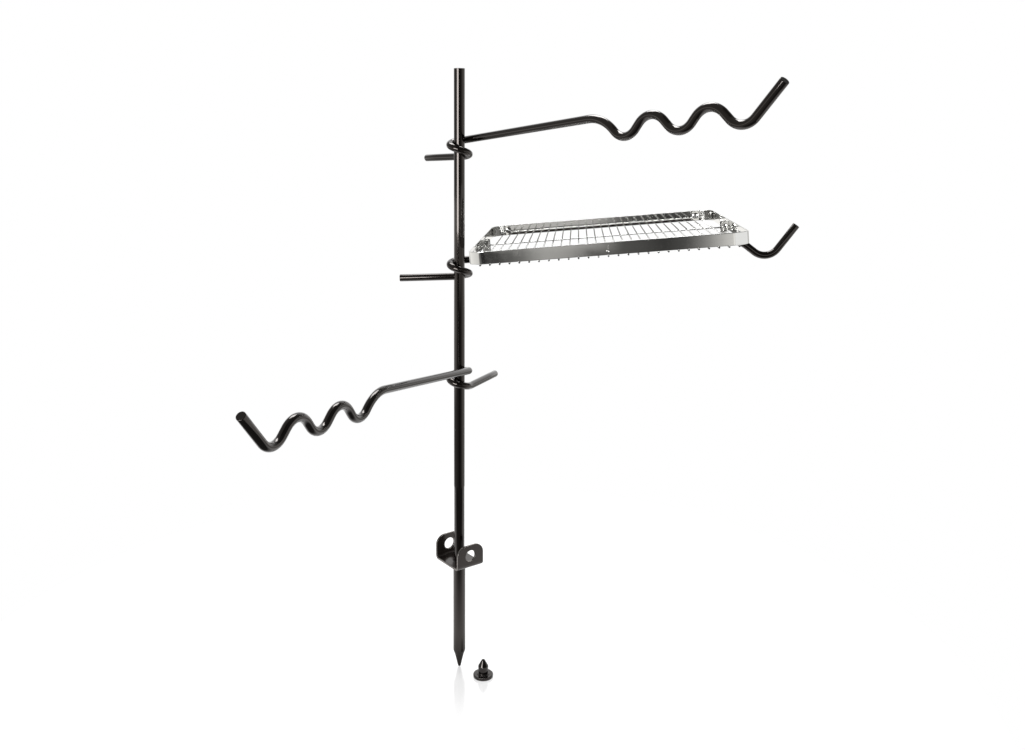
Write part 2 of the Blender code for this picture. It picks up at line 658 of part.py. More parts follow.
def build_plug():
    """Drive plug: a turned mushroom whose stem fits the sleeve's bore."""
    stem = SLEEVE_BORE_RADIUS - 2 * FIT_GAP
    head = PLUG_HEAD_DIAMETER / 2
    cone_base = PLUG_HEIGHT - PLUG_CONE
    point = PLUG_POINT_DIAMETER / 2
    collar_top = PLUG_HEAD_HEIGHT + PLUG_COLLAR
    profile = [
        (0.0, PLUG_HEIGHT),
        (0.6 * point, PLUG_HEIGHT - 0.15 * point),
        (point, PLUG_HEIGHT - 0.6 * point),
        (stem, cone_base),
        (0.96 * stem, collar_top + 0.004),
        (0.96 * stem, collar_top),
        (stem + 0.0018, collar_top),
        (stem + 0.0022, PLUG_HEAD_HEIGHT),
        (head - PLUG_EDGE, PLUG_HEAD_HEIGHT),
        (head, PLUG_HEAD_HEIGHT - PLUG_EDGE),
        (head, PLUG_EDGE),
        (head - PLUG_EDGE, 0.0),
        (0.0, 0.0),
    ]
    black = paint("plug_black", (0.014, 0.013, 0.013), 0.22, 0.0)
    plug = add_object("drive_plug", turned_mesh("drive_plug", profile, False), black)
    plug.location = (PLUG_X, PLUG_Y, 0.0)


clear_scene()
build_spike()
build_bracket()
build_mast()
build_arms()
build_grate()
build_plug()
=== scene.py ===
import math

import bmesh
import bpy
import numpy as np
from mathutils import Matrix, Vector


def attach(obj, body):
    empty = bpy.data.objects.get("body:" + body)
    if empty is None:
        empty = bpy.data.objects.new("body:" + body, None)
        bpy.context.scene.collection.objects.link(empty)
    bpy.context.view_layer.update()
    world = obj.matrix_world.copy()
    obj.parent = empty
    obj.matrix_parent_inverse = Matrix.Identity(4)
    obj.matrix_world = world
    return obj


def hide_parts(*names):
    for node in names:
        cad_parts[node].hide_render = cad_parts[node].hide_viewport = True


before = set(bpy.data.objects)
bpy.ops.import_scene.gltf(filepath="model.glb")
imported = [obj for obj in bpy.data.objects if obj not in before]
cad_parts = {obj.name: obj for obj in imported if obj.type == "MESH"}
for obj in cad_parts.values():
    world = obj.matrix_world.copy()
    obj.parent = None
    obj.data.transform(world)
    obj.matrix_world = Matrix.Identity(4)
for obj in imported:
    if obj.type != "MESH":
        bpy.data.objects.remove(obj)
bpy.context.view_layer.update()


# Ground spike sleeve: a short length of steel tube that stays in the ground.
# Its lower end is rolled in over the point, and the whole spike is sprayed gloss black.
FIT_GAP = 0.0003
MAST_RADIUS = 0.009525
SLEEVE_BORE = MAST_RADIUS + FIT_GAP
SLEEVE_WALL = 0.0013
SLEEVE_RADIUS = SLEEVE_BORE + SLEEVE_WALL
SLEEVE_TOP = 0.2106
POINT_LENGTH = 0.027
ROLL_TOP = 0.0335
ROLL_DEPTH = 0.0024
ROUND_STEPS = 72


def unit(vectors):
    """Vectors divided by their own lengths."""
    return vectors / np.linalg.norm(vectors, axis=-1, keepdims=True)


def bent_run(corners, radii, step=6.0):
    """Straight runs through flat corner points, with a round bend at every inner corner.

    A bend starts radius * tan(turn / 2) before its corner, its centre lies
    radius / cos(turn / 2) along the line that halves the corner, and its points are the
    first spoke turned in equal steps.
    """
    corners = np.asarray(corners, float)
    parts = [corners[:1]]
    for before, corner, after, radius in zip(corners, corners[1:], corners[2:], radii):
        back, ahead = unit(before - corner), unit(after - corner)
        turn = math.pi - math.acos(np.clip(back @ ahead, -1.0, 1.0))
        start = corner + back * radius * math.tan(turn / 2)
        centre = corner + unit(back + ahead) * radius / math.cos(turn / 2)
        sense = 1.0 if back[0] * ahead[1] - back[1] * ahead[0] < 0 else -1.0
        count = max(2, math.ceil(math.degrees(turn) / step))
        angles = sense * np.linspace(0.0, turn, count + 1)
        x, y = start - centre
        across = x * np.cos(angles) - y * np.sin(angles)
        along = x * np.sin(angles) + y * np.cos(angles)
        parts.append(centre + np.stack([across, along], axis=1))
    parts.append(corners[-1:])
    return np.concatenate(parts)


def grid_faces(rows, columns, wrap_rows, wrap_columns):
    """Four corner numbers of every cell of a grid whose points are numbered row by row."""
    row = np.arange(rows if wrap_rows else rows - 1)[:, None]
    column = np.arange(columns if wrap_columns else columns - 1)[None, :]
    below = (row + 1) % rows
    right = (column + 1) % columns
    cells = [row * columns + column, row * columns + right]
    cells += [below * columns + right, below * columns + column]
    return np.stack(np.broadcast_arrays(*cells), axis=2).reshape(-1, 4)


def finished(name, mesh, material, smooth_angle):
    """Object for a mesh, with its material and sharp where faces meet above the angle."""
    mesh.shade_smooth()
    mesh.set_sharp_from_angle(angle=math.radians(smooth_angle))
    mesh.materials.append(material)
    piece = bpy.data.objects.new(name, mesh)
    bpy.context.scene.collection.objects.link(piece)
    return piece


def piece_from(name, points, faces, material, edge=None, uv=None, smooth_angle=32):
    """Mesh piece from numbered points and cells, its doubles merged and its faces outward.

    The edge attribute is 1 on rounded rims and 0 on open faces, for wear and for dark wire ends.
    The uv map is given per point, in metres along the piece and as a share round it.
    """
    mesh = bpy.data.meshes.new(name)
    mesh.from_pydata(points.tolist(), [], faces.tolist())
    rim = mesh.attributes.new("edge", "FLOAT", "POINT")
    if edge is not None:
        rim.data.foreach_set("value", edge.astype(np.float32))
    if uv is not None:
        corners = np.zeros(len(mesh.loops), np.int32)
        mesh.loops.foreach_get("vertex_index", corners)
        layer = mesh.uv_layers.new(name="run")
        layer.data.foreach_set("uv", uv[corners].astype(np.float32).ravel())
    bm = bmesh.new()
    bm.from_mesh(mesh)
    bmesh.ops.remove_doubles(bm, verts=bm.verts, dist=1e-6)
    bmesh.ops.recalc_face_normals(bm, faces=bm.faces)
    bm.to_mesh(mesh)
    bm.free()
    return finished(name, mesh, material, smooth_angle)


def moved(points, matrix):
    """Points under a placing matrix: turned and scaled by its 3 x 3 part, then shifted."""
    place = np.array(matrix, float)
    return points @ place[:3, :3].T + place[:3, 3]


def polar(radius, angle, height):
    """Points (r cos a, r sin a, z) for every radius r, angle a and height z of matching grids."""
    x, y = radius * np.cos(angle), radius * np.sin(angle)
    return np.stack(np.broadcast_arrays(x, y, height), axis=-1)


def turned_points(profile, steps=ROUND_STEPS):
    """Surface of revolution: (r cos a, r sin a, z) for each (r, z) of the profile, each angle a."""
    angle = np.linspace(0.0, math.tau, steps, endpoint=False)
    return polar(profile[:, 0:1], angle, profile[:, 1:2])


def run_length(line):
    """Length of a line from its first point to each point."""
    return np.insert(np.cumsum(np.linalg.norm(np.diff(line, axis=0), axis=1)), 0, 0.0)


def round_uv(length, steps):
    """Map of a piece of round section: the length along it, and the share of a turn round it."""
    share = np.arange(steps) / steps
    return np.stack(np.broadcast_arrays(length[:, None], share), axis=2).reshape(-1, 2)


def rim_share(profile, smallest=0.0016):
    """1 where the profile bends in short steps, and 0 at both ends of a run above the size."""
    steps = np.linalg.norm(np.diff(profile, axis=0), axis=1)
    farthest = np.maximum(np.append(steps, steps[-1]), np.insert(steps, 0, steps[0]))
    return np.clip(1.5 - farthest / smallest * 2.0, 0.0, 1.0)


def held_runs(profile, closed, margin=0.0003):
    """Profile with two more points on each long run, a margin from its ends.

    Between them the run keeps its own normals, and only the margins bend towards the next face.
    """
    after = np.roll(profile, -1, axis=0)
    length = np.linalg.norm(after - profile, axis=1)
    if not closed:
        length[-1] = 0.0
    share = np.where(length > 5 * margin, margin / np.maximum(length, 1e-9), np.nan)[:, None]
    inset = (after - profile) * share
    rows = np.stack([profile, profile + inset, after - inset], axis=1).reshape(-1, profile.shape[1])
    return rows[~np.isnan(rows[:, 0])]


def tube_section(outer, wall, top, lower, radii, step):
    """Closed section of a tube: from the middle of its top round the lower corners and back up."""
    middle = (outer - wall / 2, top)
    return bent_run([middle, (outer, top), *lower, (outer - wall, top), middle], radii, step)[:-1]


def turned_piece(name, profile, material, closed=False, place=None, steps=ROUND_STEPS):
    """Turned piece; a closed profile is a ring section, an open one starts and ends on the axis."""
    profile = held_runs(np.asarray(profile, float), closed)
    flat = turned_points(profile, steps).reshape(-1, 3)
    if place is not None:
        flat = moved(flat, place)
    faces = grid_faces(len(profile), steps, closed, True)
    edge = np.repeat(rim_share(profile), steps)
    return piece_from(name, flat, faces, material, edge, round_uv(run_length(profile), steps))


def fill(tree, node, sockets):
    """Set a node's sockets: to a value, or by a link to an output or to a node's first output."""
    for key, value in sockets.items():
        if isinstance(value, bpy.types.Node):
            value = value.outputs[0]
        if isinstance(value, bpy.types.NodeSocket):
            tree.links.new(value, node.inputs[key])
        else:
            node.inputs[key].default_value = value


def put(tree, kind, sockets=None, **settings):
    """Add a node with its settings, and fill its sockets."""
    node = tree.nodes.new(kind)
    for key, value in settings.items():
        setattr(node, key, value)
    fill(tree, node, sockets or {})
    return node


def maths(tree, operation, *terms, clamp=False):
    """Result of a math node over one or two terms, each of them a number or an output."""
    terms = dict(enumerate(terms))
    return put(tree, "ShaderNodeMath", terms, operation=operation, use_clamp=clamp).outputs[0]


def mapped(tree, value, low, high, to_low=0.0, to_high=1.0):
    """Result of a clamped linear map, which takes low to the first end and high to the second."""
    ends = {"From Min": low, "From Max": high, "To Min": to_low, "To Max": to_high}
    return put(tree, "ShaderNodeMapRange", {"Value": value, **ends}).outputs[0]


def mixed(tree, share, first, second):
    """Colour mixed from two colours or outputs: the first at share 0, the second at share 1."""
    return put(tree, "ShaderNodeMix", {0: share, 6: first, 7: second}, data_type="RGBA").outputs[2]


def noise(tree, place, scale, detail, roughness=0.5):
    """Value of a noise texture at a place."""
    sockets = {"Vector": place, "Scale": scale, "Detail": detail, "Roughness": roughness}
    return put(tree, "ShaderNodeTexNoise", sockets).outputs[0]


def new_group(name, places, numbers, results):
    """Shader group with vector inputs, number inputs and number outputs, and its two end nodes."""
    group = bpy.data.node_groups.new(name, "ShaderNodeTree")
    sockets = [(label, "INPUT", "NodeSocketVector") for label in places]
    sockets += [(label, "INPUT", "NodeSocketFloat") for label in numbers]
    sockets += [(label, "OUTPUT", "NodeSocketFloat") for label in results]
    for label, side, kind in sockets:
        group.interface.new_socket(label, in_out=side, socket_type=kind)
    return group, group.nodes.new("NodeGroupInput"), group.nodes.new("NodeGroupOutput")


def enamel_group():
    """Sprayed enamel: orange peel as a height, slow changes of film as a tone, and dust specks."""
    labels = ["Height", "Tone", "Speck"]
    group, given, result = new_group("enamel_skin", ["Place"], ["Peel Scale"], labels)
    place = given.outputs["Place"]
    peel = noise(group, place, given.outputs["Peel Scale"], 2.0, 0.45)
    grit = maths(group, "MULTIPLY", noise(group, place, 2300.0, 0.0), 0.18)
    dust = noise(group, place, 760.0, 1.0)
    fill(group, result, {
        "Height": maths(group, "ADD", peel, grit),
        "Tone": noise(group, place, 31.0, 3.0, 0.6),
        "Speck": mapped(group, dust, 0.66, 0.74),
    })
    return group


def rubbed_group():
    """Rubbed rims: the edge attribute broken up by grain, bare above the given level."""
    group, given, result = new_group("rubbed_rim", ["Place"], ["Edge", "Level"], ["Bare"])
    grain = noise(group, given.outputs["Place"], 380.0, 4.0, 0.65)
    share = maths(group, "MULTIPLY", given.outputs["Edge"], grain)
    above = maths(group, "SUBTRACT", share, given.outputs["Level"])
    fill(group, result, {"Bare": maths(group, "MULTIPLY", above, 7.0, clamp=True)})
    return group


ENAMEL = enamel_group()
RUBBED = rubbed_group()


def gloss_black(name, dark, light, rough, peel_scale, peel_depth, bare_level):
    """Gloss black enamel on steel: film tone in the colour, orange peel in the gloss coat."""
    material = bpy.data.materials.new(name)
    material.use_nodes = True
    tree = material.node_tree
    shader = tree.nodes["Principled BSDF"]
    shader.inputs["IOR"].default_value = 1.5
    shader.inputs["Specular Tint"].default_value = (1.0, 0.87, 0.80, 1.0)
    shader.inputs["Coat Weight"].default_value = 0.4
    shader.inputs["Coat Roughness"].default_value = 0.03
    shader.inputs["Coat IOR"].default_value = 1.5
    place = put(tree, "ShaderNodeTexCoord").outputs["Object"]
    rim = put(tree, "ShaderNodeAttribute", attribute_name="edge").outputs["Fac"]
    peel = {"Place": place, "Peel Scale": peel_scale}
    skin = put(tree, "ShaderNodeGroup", peel, node_tree=ENAMEL)
    wear = {"Place": place, "Edge": rim, "Level": bare_level}
    bare = put(tree, "ShaderNodeGroup", wear, node_tree=RUBBED).outputs["Bare"]
    tone = mixed(tree, skin.outputs["Tone"], (*dark, 1.0), (*light, 1.0))
    dull = mapped(tree, skin.outputs["Tone"], 0.0, 1.0, rough - 0.03, rough + 0.05)
    dusty = maths(tree, "MULTIPLY", skin.outputs["Speck"], 0.015)
    relief = {"Strength": 1.0, "Distance": peel_depth, "Height": skin.outputs["Height"]}
    fill(tree, shader, {
        "Base Color": mixed(tree, bare, tone, (0.23, 0.22, 0.21, 1.0)),
        "Metallic": bare,
        "Roughness": maths(tree, "ADD", dull, dusty),
        "Normal": put(tree, "ShaderNodeBump", relief),
    })
    return material


SPIKE_BLACK = gloss_black(
    "spike_gloss_black", (0.004, 0.003, 0.003), (0.012, 0.010, 0.009), 0.15, 620, 0.000010, 0.62
)
MOUTH = SLEEVE_RADIUS - ROLL_DEPTH
rolled_in = [
    (SLEEVE_RADIUS, ROLL_TOP),
    (MOUTH, POINT_LENGTH),
    (MOUTH - SLEEVE_WALL, POINT_LENGTH),
    (SLEEVE_BORE, ROLL_TOP),
]
sleeve_bends = [0.0004, 0.005, 0.0004, 0.0002, 0.003, 0.0004]
sleeve_profile = tube_section(
    SLEEVE_RADIUS, SLEEVE_WALL, SLEEVE_TOP, rolled_in, sleeve_bends, 10
)
sleeve = turned_piece("spike_sleeve_painted", sleeve_profile, SPIKE_BLACK, closed=True)
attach(sleeve, "ground_spike")
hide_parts("spike_sleeve")


# Spike point: a solid turned cone whose shank is driven into the sleeve and held by a cross pin.
# Its paint is thin, finer in grain and duller than the sleeve's.
SHANK_TOP = 0.062
POINT_RADIUS = 0.0028
PIN_RADIUS = 0.0025
PIN_HEIGHT = 0.0425
PIN_HOLLOW = 0.0004
PIN_DIMPLE = 0.0008
BRACKET_YAW = -53.2


def solid_section(corners, radii, step):
    """Open section of a solid: bent_run through its corners, both ends carried to the axis."""
    first, last = [(0.0, corners[0][1])], [(0.0, corners[-1][1])]
    return np.concatenate([first, bent_run(corners, radii, step), last])


POINT_BLACK = gloss_black(
    "point_thin_black", (0.004, 0.0035, 0.003), (0.012, 0.010, 0.009), 0.20, 900, 0.000012, 0.56
)
neck = MOUTH - SLEEVE_WALL - 2 * FIT_GAP
shank = SLEEVE_BORE - FIT_GAP
cone_top = POINT_LENGTH - FIT_GAP
point_profile = solid_section(
    [
        (0.6 * shank, SHANK_TOP),
        (shank, SHANK_TOP),
        (shank, ROLL_TOP + FIT_GAP),
        (neck, cone_top),
        (MOUTH - FIT_GAP, cone_top),
        (POINT_RADIUS, POINT_RADIUS),
        (POINT_RADIUS * 0.7, POINT_RADIUS * 0.3),
        (0.0002, 0.0),
    ],
    [0.0006, 0.002, 0.0002, 0.0004, 0.001, 0.0008],
    12,
)
point = turned_piece("spike_point_turned", point_profile, POINT_BLACK, steps=56)
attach(point, "ground_spike")
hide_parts("spike_tip")

pin_half = SLEEVE_RADIUS + FIT_GAP
pin_face = pin_half - PIN_HOLLOW
pin_corners = [
    (PIN_DIMPLE, pin_face), (PIN_RADIUS, pin_half), (PIN_RADIUS, -pin_half), (PIN_DIMPLE, -pin_face)
]
pin_profile = solid_section(pin_corners, [0.0004, 0.0004], 15)
facing = Matrix.Rotation(math.radians(BRACKET_YAW + 90), 4, "Z")
across = facing @ Matrix.Rotation(math.pi / 2, 4, "Y")
pin = turned_piece(
    "spike_cross_pin",
    pin_profile,
    POINT_BLACK,
    place=Matrix.Translation((0.0, 0.0, PIN_HEIGHT)) @ across,
    steps=32,
)
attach(pin, "ground_spike")
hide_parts("tip_pin")


# Foot bracket: one strip of 4 mm plate with its ends bent up into drilled, rounded ears.
# It slides over the sleeve and takes the boot or hammer that drives the spike in.
BRACKET_LENGTH = 0.0738
BRACKET_WIDTH = 0.0552
BRACKET_PLATE = 0.004
BRACKET_UNDERSIDE = 0.2066
BRACKET_HEIGHT = 0.0435
BEND_INSIDE = 0.0035
EAR_CORNER = 0.0176
EAR_HOLE = 0.0105
EAR_HOLE_DROP = 0.0197
PLATE_EDGE = 0.0005
bend_outside = BEND_INSIDE + BRACKET_PLATE
bend_middle = BEND_INSIDE + BRACKET_PLATE / 2
flat_half = BRACKET_LENGTH / 2 - bend_outside
bend_end = flat_half + bend_middle * math.pi / 2
ear_end = bend_end + BRACKET_HEIGHT - bend_outside
ear_hole_at = ear_end - EAR_HOLE_DROP


def folded_plate(flat):
    """Bend the laid-out plate: points (s, t, h) along it, across it and off its middle.

    Up to the bend x = s. In the bend the turn is (s - flat half) / middle radius, and the point
    sits at that angle on a circle of middle radius - h. Past it the plate stands upright.
    """
    along, wide, off = flat.T
    side = np.sign(along)
    reach = np.abs(along)
    turn = np.clip((reach - flat_half) / bend_middle, 0.0, math.pi / 2)
    radius = bend_middle - off
    past = np.maximum(reach - bend_end, 0.0)
    x = np.minimum(reach, flat_half) + radius * np.sin(turn)
    z = bend_outside - radius * np.cos(turn) + past
    return np.stack([side * x, wide, z], axis=1)


def ring_cell(border, centre, hole, shares):
    """Flat cell round a hole: each row lies a share of the way from its edge to the border."""
    rim = centre + unit(border - centre) * hole
    return rim + (border - rim) * np.asarray(shares)[:, None, None]


def raised(flat, height):
    """Flat points with a third coordinate: one height for all, or one per row or column."""
    return np.concatenate([flat, np.broadcast_to(height, (*flat.shape[:-1], 1))], axis=-1)


def flat_run(s, t):
    """Points (s, t) of one run along or across the plate; one of the two may be a single number."""
    return np.stack(np.broadcast_arrays(s, t), axis=1)


def joined(parts):
    """Points and cells of several (points, cells) parts under one numbering."""
    starts = np.cumsum([0] + [points.size // 3 for points, _ in parts[:-1]])
    points = np.concatenate([points.reshape(-1, 3) for points, _ in parts])
    return points, np.concatenate([cells + start for (_, cells), start in zip(parts, starts)])


def plate_rim(loop, outward):
    """Rounded rim of the plate: the loop carried along a half-round section through the thickness.

    With e the edge radius and T the thickness, the section goes from (0, T/2) by a quarter circle
    to (e, T/2 - e), straight down, and back by another quarter circle to (0, -T/2).
    """
    quarter = np.linspace(0.0, math.pi / 2, 4)
    off = BRACKET_PLATE / 2 - PLATE_EDGE + PLATE_EDGE * np.cos(quarter)
    out = PLATE_EDGE * np.sin(quarter)
    off = np.concatenate([off, -off[::-1]])
    out = np.concatenate([out, out[::-1]])
    return raised(loop[None] + outward[None] * out[:, None, None], off[:, None, None])


half_width = BRACKET_WIDTH / 2 - PLATE_EDGE
corner = EAR_CORNER - PLATE_EDGE
top = ear_end - PLATE_EDGE
across_steps = np.linspace(-half_width, half_width, 17)
quarter = np.linspace(0.0, math.pi / 2, 15)
side_run = np.linspace(bend_end, top - corner, 8)
lower_side = flat_run(side_run, -half_width)
lower_corner = flat_run(
    top - corner + corner * np.sin(quarter), -half_width + corner - corner * np.cos(quarter)
)
top_side = flat_run(top, np.linspace(corner - half_width, half_width - corner, 9))
upper_corner = lower_corner[::-1] * [1, -1]
upper_side = lower_side[::-1] * [1, -1]
ear_open = np.concatenate([
    lower_side, lower_corner[1:], top_side[1:], upper_corner[1:], upper_side[1:]
])
ear_border = np.concatenate([ear_open, flat_run(bend_end, across_steps[-2:0:-1])])
middle_run = np.linspace(-flat_half, flat_half, 19)
near_side = flat_run(middle_run, -half_width)
far_side = flat_run(middle_run[::-1], half_width)
right_end = flat_run(flat_half, across_steps[1:-1])
middle_border = np.concatenate([near_side, right_end, far_side, -right_end])
cell_shares = [0.0, 0.05, 0.35, 0.65, 0.95, 1.0]
bend_run = np.linspace(flat_half, bend_end, 9)
bend_cell = np.stack(np.meshgrid(bend_run, across_steps, indexing="ij"), axis=2)
ear_cell = ring_cell(ear_border, np.array([ear_hole_at, 0.0]), EAR_HOLE + PLATE_EDGE, cell_shares)
bore_radius = SLEEVE_RADIUS + FIT_GAP
middle_cell = ring_cell(middle_border, np.zeros(2), bore_radius + PLATE_EDGE, cell_shares)
flat_cells = [(middle_cell, True), (bend_cell, False), (bend_cell * [-1, 1], False)]
flat_cells += [(ear_cell, True), (ear_cell * [-1, 1], True)]

right_bend = flat_run(bend_run[1:-1], -half_width)
half_outline = np.concatenate([ear_open, right_bend[::-1] * [1, -1], far_side, -right_bend])
outline = np.concatenate([half_outline, -half_outline])


def outward_of(loop):
    """Unit normals of a closed counter-clockwise loop, square to the chord between neighbours."""
    chord = np.roll(loop, -1, axis=0) - np.roll(loop, 1, axis=0)
    return unit(np.stack([chord[:, 1], -chord[:, 0]], axis=1))


plate_parts = [
    (raised(cell, off), grid_faces(*cell.shape[:2], False, closed))
    for cell, closed in flat_cells
    for off in (BRACKET_PLATE / 2, -BRACKET_PLATE / 2)
]
rims = [(outline, outward_of(outline))]
for cell in (middle_cell, ear_cell, ear_cell * [-1, 1]):
    centre = np.array([cell[0, :, 0].min() + cell[0, :, 0].max(), 0.0]) / 2
    rims.append((cell[0], unit(centre - cell[0])))
open_points = sum(points.size // 3 for points, _ in plate_parts)
for loop, outward in rims:
    rim = plate_rim(loop, outward)
    plate_parts.append((rim, grid_faces(*rim.shape[:2], False, True)))
plate_points, plate_faces = joined(plate_parts)
plate_edge = (np.arange(len(plate_points)) >= open_points).astype(float)
bracket_place = Matrix.Translation((0.0, 0.0, BRACKET_UNDERSIDE)) @ Matrix.Rotation(
    math.radians(BRACKET_YAW), 4, "Z"
)
BRACKET_BLACK = gloss_black(
    "bracket_gloss_black", (0.009, 0.007, 0.006), (0.024, 0.020, 0.018), 0.22, 420, 0.000070, 0.38
)
bracket = piece_from(
    "foot_bracket_bent",
    moved(folded_plate(plate_points), bracket_place),
    plate_faces,
    BRACKET_BLACK,
    plate_edge,
)
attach(bracket, "ground_spike")
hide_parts("foot_bracket")


# Weld under the bracket: one bead run round the sleeve, with the ripples of its puddles.
# It was painted with the rest, so only its ripples and a few spatter beads show.
WELD_LEG = 0.0032
WELD_PUDDLES = 34
BEAD_GRID = (7, 10)
WELD_GAP = 0.00005
WELD_TOP = BRACKET_UNDERSIDE - WELD_GAP
SPATTER = [
    (0.6, 0.0052, 0.0007), (2.1, 0.0064, 0.0005), (3.9, 0.0049, 0.0006), (5.2, 0.0071, 0.0005)
]


def weld_points():
    """Bead section of seven heights, pushed out by ripples that trail like overlapping puddles.

    With p the share of a puddle passed at an angle, the ripple is 0.55 sin(pi p) ** 0.7 +
    0.25 (1 - p) and two slow sines. The section is a quarter circle of b, times 1 - 0.3 sin 2b.
    """
    angle = np.linspace(0.0, math.tau, WELD_PUDDLES * 8, endpoint=False)
    part = angle * WELD_PUDDLES / math.tau % 1.0
    ripple = 0.55 * np.sin(math.pi * part) ** 0.7 + 0.25 * (1 - part)
    ripple += 0.12 * np.sin(3 * angle + 0.7) + 0.07 * np.sin(7 * angle)
    bow = np.linspace(0.0, math.pi / 2, 7)[:, None]
    inside = SLEEVE_RADIUS + WELD_GAP
    swell = WELD_LEG * (0.80 + 0.20 * ripple)
    lobe = 1 - 0.30 * np.sin(2 * bow)
    radius = inside + swell * np.cos(bow) * lobe
    height = WELD_TOP - WELD_LEG * (0.85 + 0.15 * ripple) * np.sin(bow) * lobe
    back = np.array([[inside, WELD_TOP]])
    return np.concatenate([polar(radius, angle, height), turned_points(back, len(angle))])


def unit_ball(rows, columns):
    """Unit sphere points (sin b cos a, sin b sin a, cos b): b from pole to pole, a round it."""
    down = np.linspace(0.0, math.pi, rows)[:, None]
    turn = np.linspace(0.0, math.tau, columns, endpoint=False)
    return polar(np.sin(down), turn, np.cos(down))


def bead_points(azimuth, drop, size):
    """Round bead on the sleeve: a sphere whose centre lies 0.3 of its radius off the wall."""
    out = SLEEVE_RADIUS + size * 0.3
    centre = [out * math.cos(azimuth), out * math.sin(azimuth), BRACKET_UNDERSIDE - drop]
    return unit_ball(*BEAD_GRID) * size + centre


weld_grid = weld_points()
weld_parts = [(weld_grid, grid_faces(*weld_grid.shape[:2], True, True))]
weld_parts += [(bead_points(*bead), grid_faces(*BEAD_GRID, False, True)) for bead in SPATTER]
WELD_BLACK = gloss_black(
    "weld_painted_black", (0.006, 0.005, 0.005), (0.016, 0.013, 0.012), 0.16, 1100, 0.000015, 0.60
)
weld = piece_from("sleeve_weld_bead", *joined(weld_parts), WELD_BLACK)
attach(weld, "ground_spike")
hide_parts("sleeve_weld")


# Mast: a plain length of drawn steel tube with an open, deburred top, set into the sleeve.
# Its gloss paint is scuffed in faint rings where the arms' loops are shifted up and down.
MAST_TOP = 1.0968
MAST_BOTTOM = 0.0623
MAST_WALL = 0.0015
LOOP_HEIGHTS = (0.9764, 0.7637, 0.5676)
SCUFF_DROP = 0.014

MAST_BLACK = gloss_black(
    "mast_gloss_black", (0.0015, 0.0012, 0.001), (0.004, 0.003, 0.0025), 0.06, 560, 0.0000020, 0.60
)
mast_foot = [(MAST_RADIUS, MAST_BOTTOM), (MAST_RADIUS - MAST_WALL, MAST_BOTTOM)]
mast_bends = [0.0006, 0.0004, 0.0004, 0.0005]
mast_profile = tube_section(MAST_RADIUS, MAST_WALL, MAST_TOP, mast_foot, mast_bends, 12)
mast = turned_piece("mast_tube_painted", mast_profile, MAST_BLACK, closed=True)
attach(mast, "mast")
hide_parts("mast_tube")


def add_ring_scuffs(material, heights):
    """Fine rings round the mast near the given heights, where the loops have dulled the gloss."""
    tree = material.node_tree
    shader = tree.nodes["Principled BSDF"]
    place = put(tree, "ShaderNodeTexCoord").outputs["Object"]
    level = put(tree, "ShaderNodeSeparateXYZ", {0: place}).outputs["Z"]
    squash = {"Vector": place, "Scale": (14.0, 14.0, 2600.0)}
    squashed = put(tree, "ShaderNodeMapping", squash).outputs[0]
    near = 0.0
    for height in heights:
        off = maths(tree, "ABSOLUTE", maths(tree, "SUBTRACT", level, height - SCUFF_DROP))
        near = maths(tree, "MAXIMUM", near, mapped(tree, off, 0.050, 0.018))
    rings = mapped(tree, noise(tree, squashed, 1.0, 3.0), 0.52, 0.70, 0.0, 0.07)
    scuff = maths(tree, "MULTIPLY", rings, near)
    clean = shader.inputs["Roughness"].links[0].from_socket
    fill(tree, shader, {"Roughness": maths(tree, "ADD", clean, scuff, clamp=True)})


add_ring_scuffs(MAST_BLACK, LOOP_HEIGHTS)


# Bent arms: each is one length of 1/2 in round bar, cold bent, looped once round the mast.
# The ends are sawn square and only lightly broken at the rim, and all is sprayed gloss black.
BAR_RADIUS = 0.00635
LOOP_RADIUS = 0.016875
LOOP_LEAN = 0.0007
LOOP_DROP = 0.0278
LOOP_EXIT_SLOPE = 0.22
TAIL_SLOPE = 0.044
TAIL_EASE = 0.014
BAR_STEPS = 32
BAR_END_EDGE = 0.0007
GRILL_YAW = -3.76
GRILL_RISE = 5.25


def loop_height(share, rise):
    """Height in the turn: a cubic from the arm's slope at share 0 to the exit slope at share 1."""
    length = math.tau * LOOP_RADIUS
    start_slope = -math.tan(math.radians(rise))
    height = -LOOP_DROP * (3 * share**2 - 2 * share**3)
    height = height + length * start_slope * (share**3 - 2 * share**2 + share)
    return height - length * LOOP_EXIT_SLOPE * (share**3 - share**2)


def arm_line(profile, rise, tail):
    """Middle line of an arm from its handle to its tail, in the frame of its loop.

    The outer part lies in an upright plane beside the mast, tilted by the rise. The turn is a
    circle of the loop radius that leans on the mast by a sine, and the tail eases into a slope.
    """
    tilt = math.radians(rise)
    along, off = profile[::-1].T
    x = along * math.cos(tilt) - off * math.sin(tilt)
    z = along * math.sin(tilt) + off * math.cos(tilt)
    outer = np.stack([x, np.full(len(x), LOOP_RADIUS), z], axis=1)
    share = np.linspace(0.0, 1.0, 97)
    angle = math.pi / 2 + math.tau * share
    turn = np.stack(
        [
            LOOP_RADIUS * np.cos(angle) + LOOP_LEAN * np.sin(math.pi * share),
            LOOP_RADIUS * np.sin(angle),
            loop_height(share, rise),
        ],
        axis=1,
    )
    ease = np.linspace(0.0, 1.0, 9)[1:]
    fall = LOOP_EXIT_SLOPE * ease - (LOOP_EXIT_SLOPE - TAIL_SLOPE) * ease**2 / 2
    low = loop_height(1.0, rise)
    eased = np.stack([-TAIL_EASE * ease, np.full(8, LOOP_RADIUS), low - TAIL_EASE * fall], axis=1)
    run = np.linspace(TAIL_EASE, tail, 4)[1:]
    sink = eased[-1, 2] - (run - TAIL_EASE) * TAIL_SLOPE
    end = np.stack([-run, np.full(3, LOOP_RADIUS), sink], axis=1)
    return np.concatenate([outer, turn, eased, end])


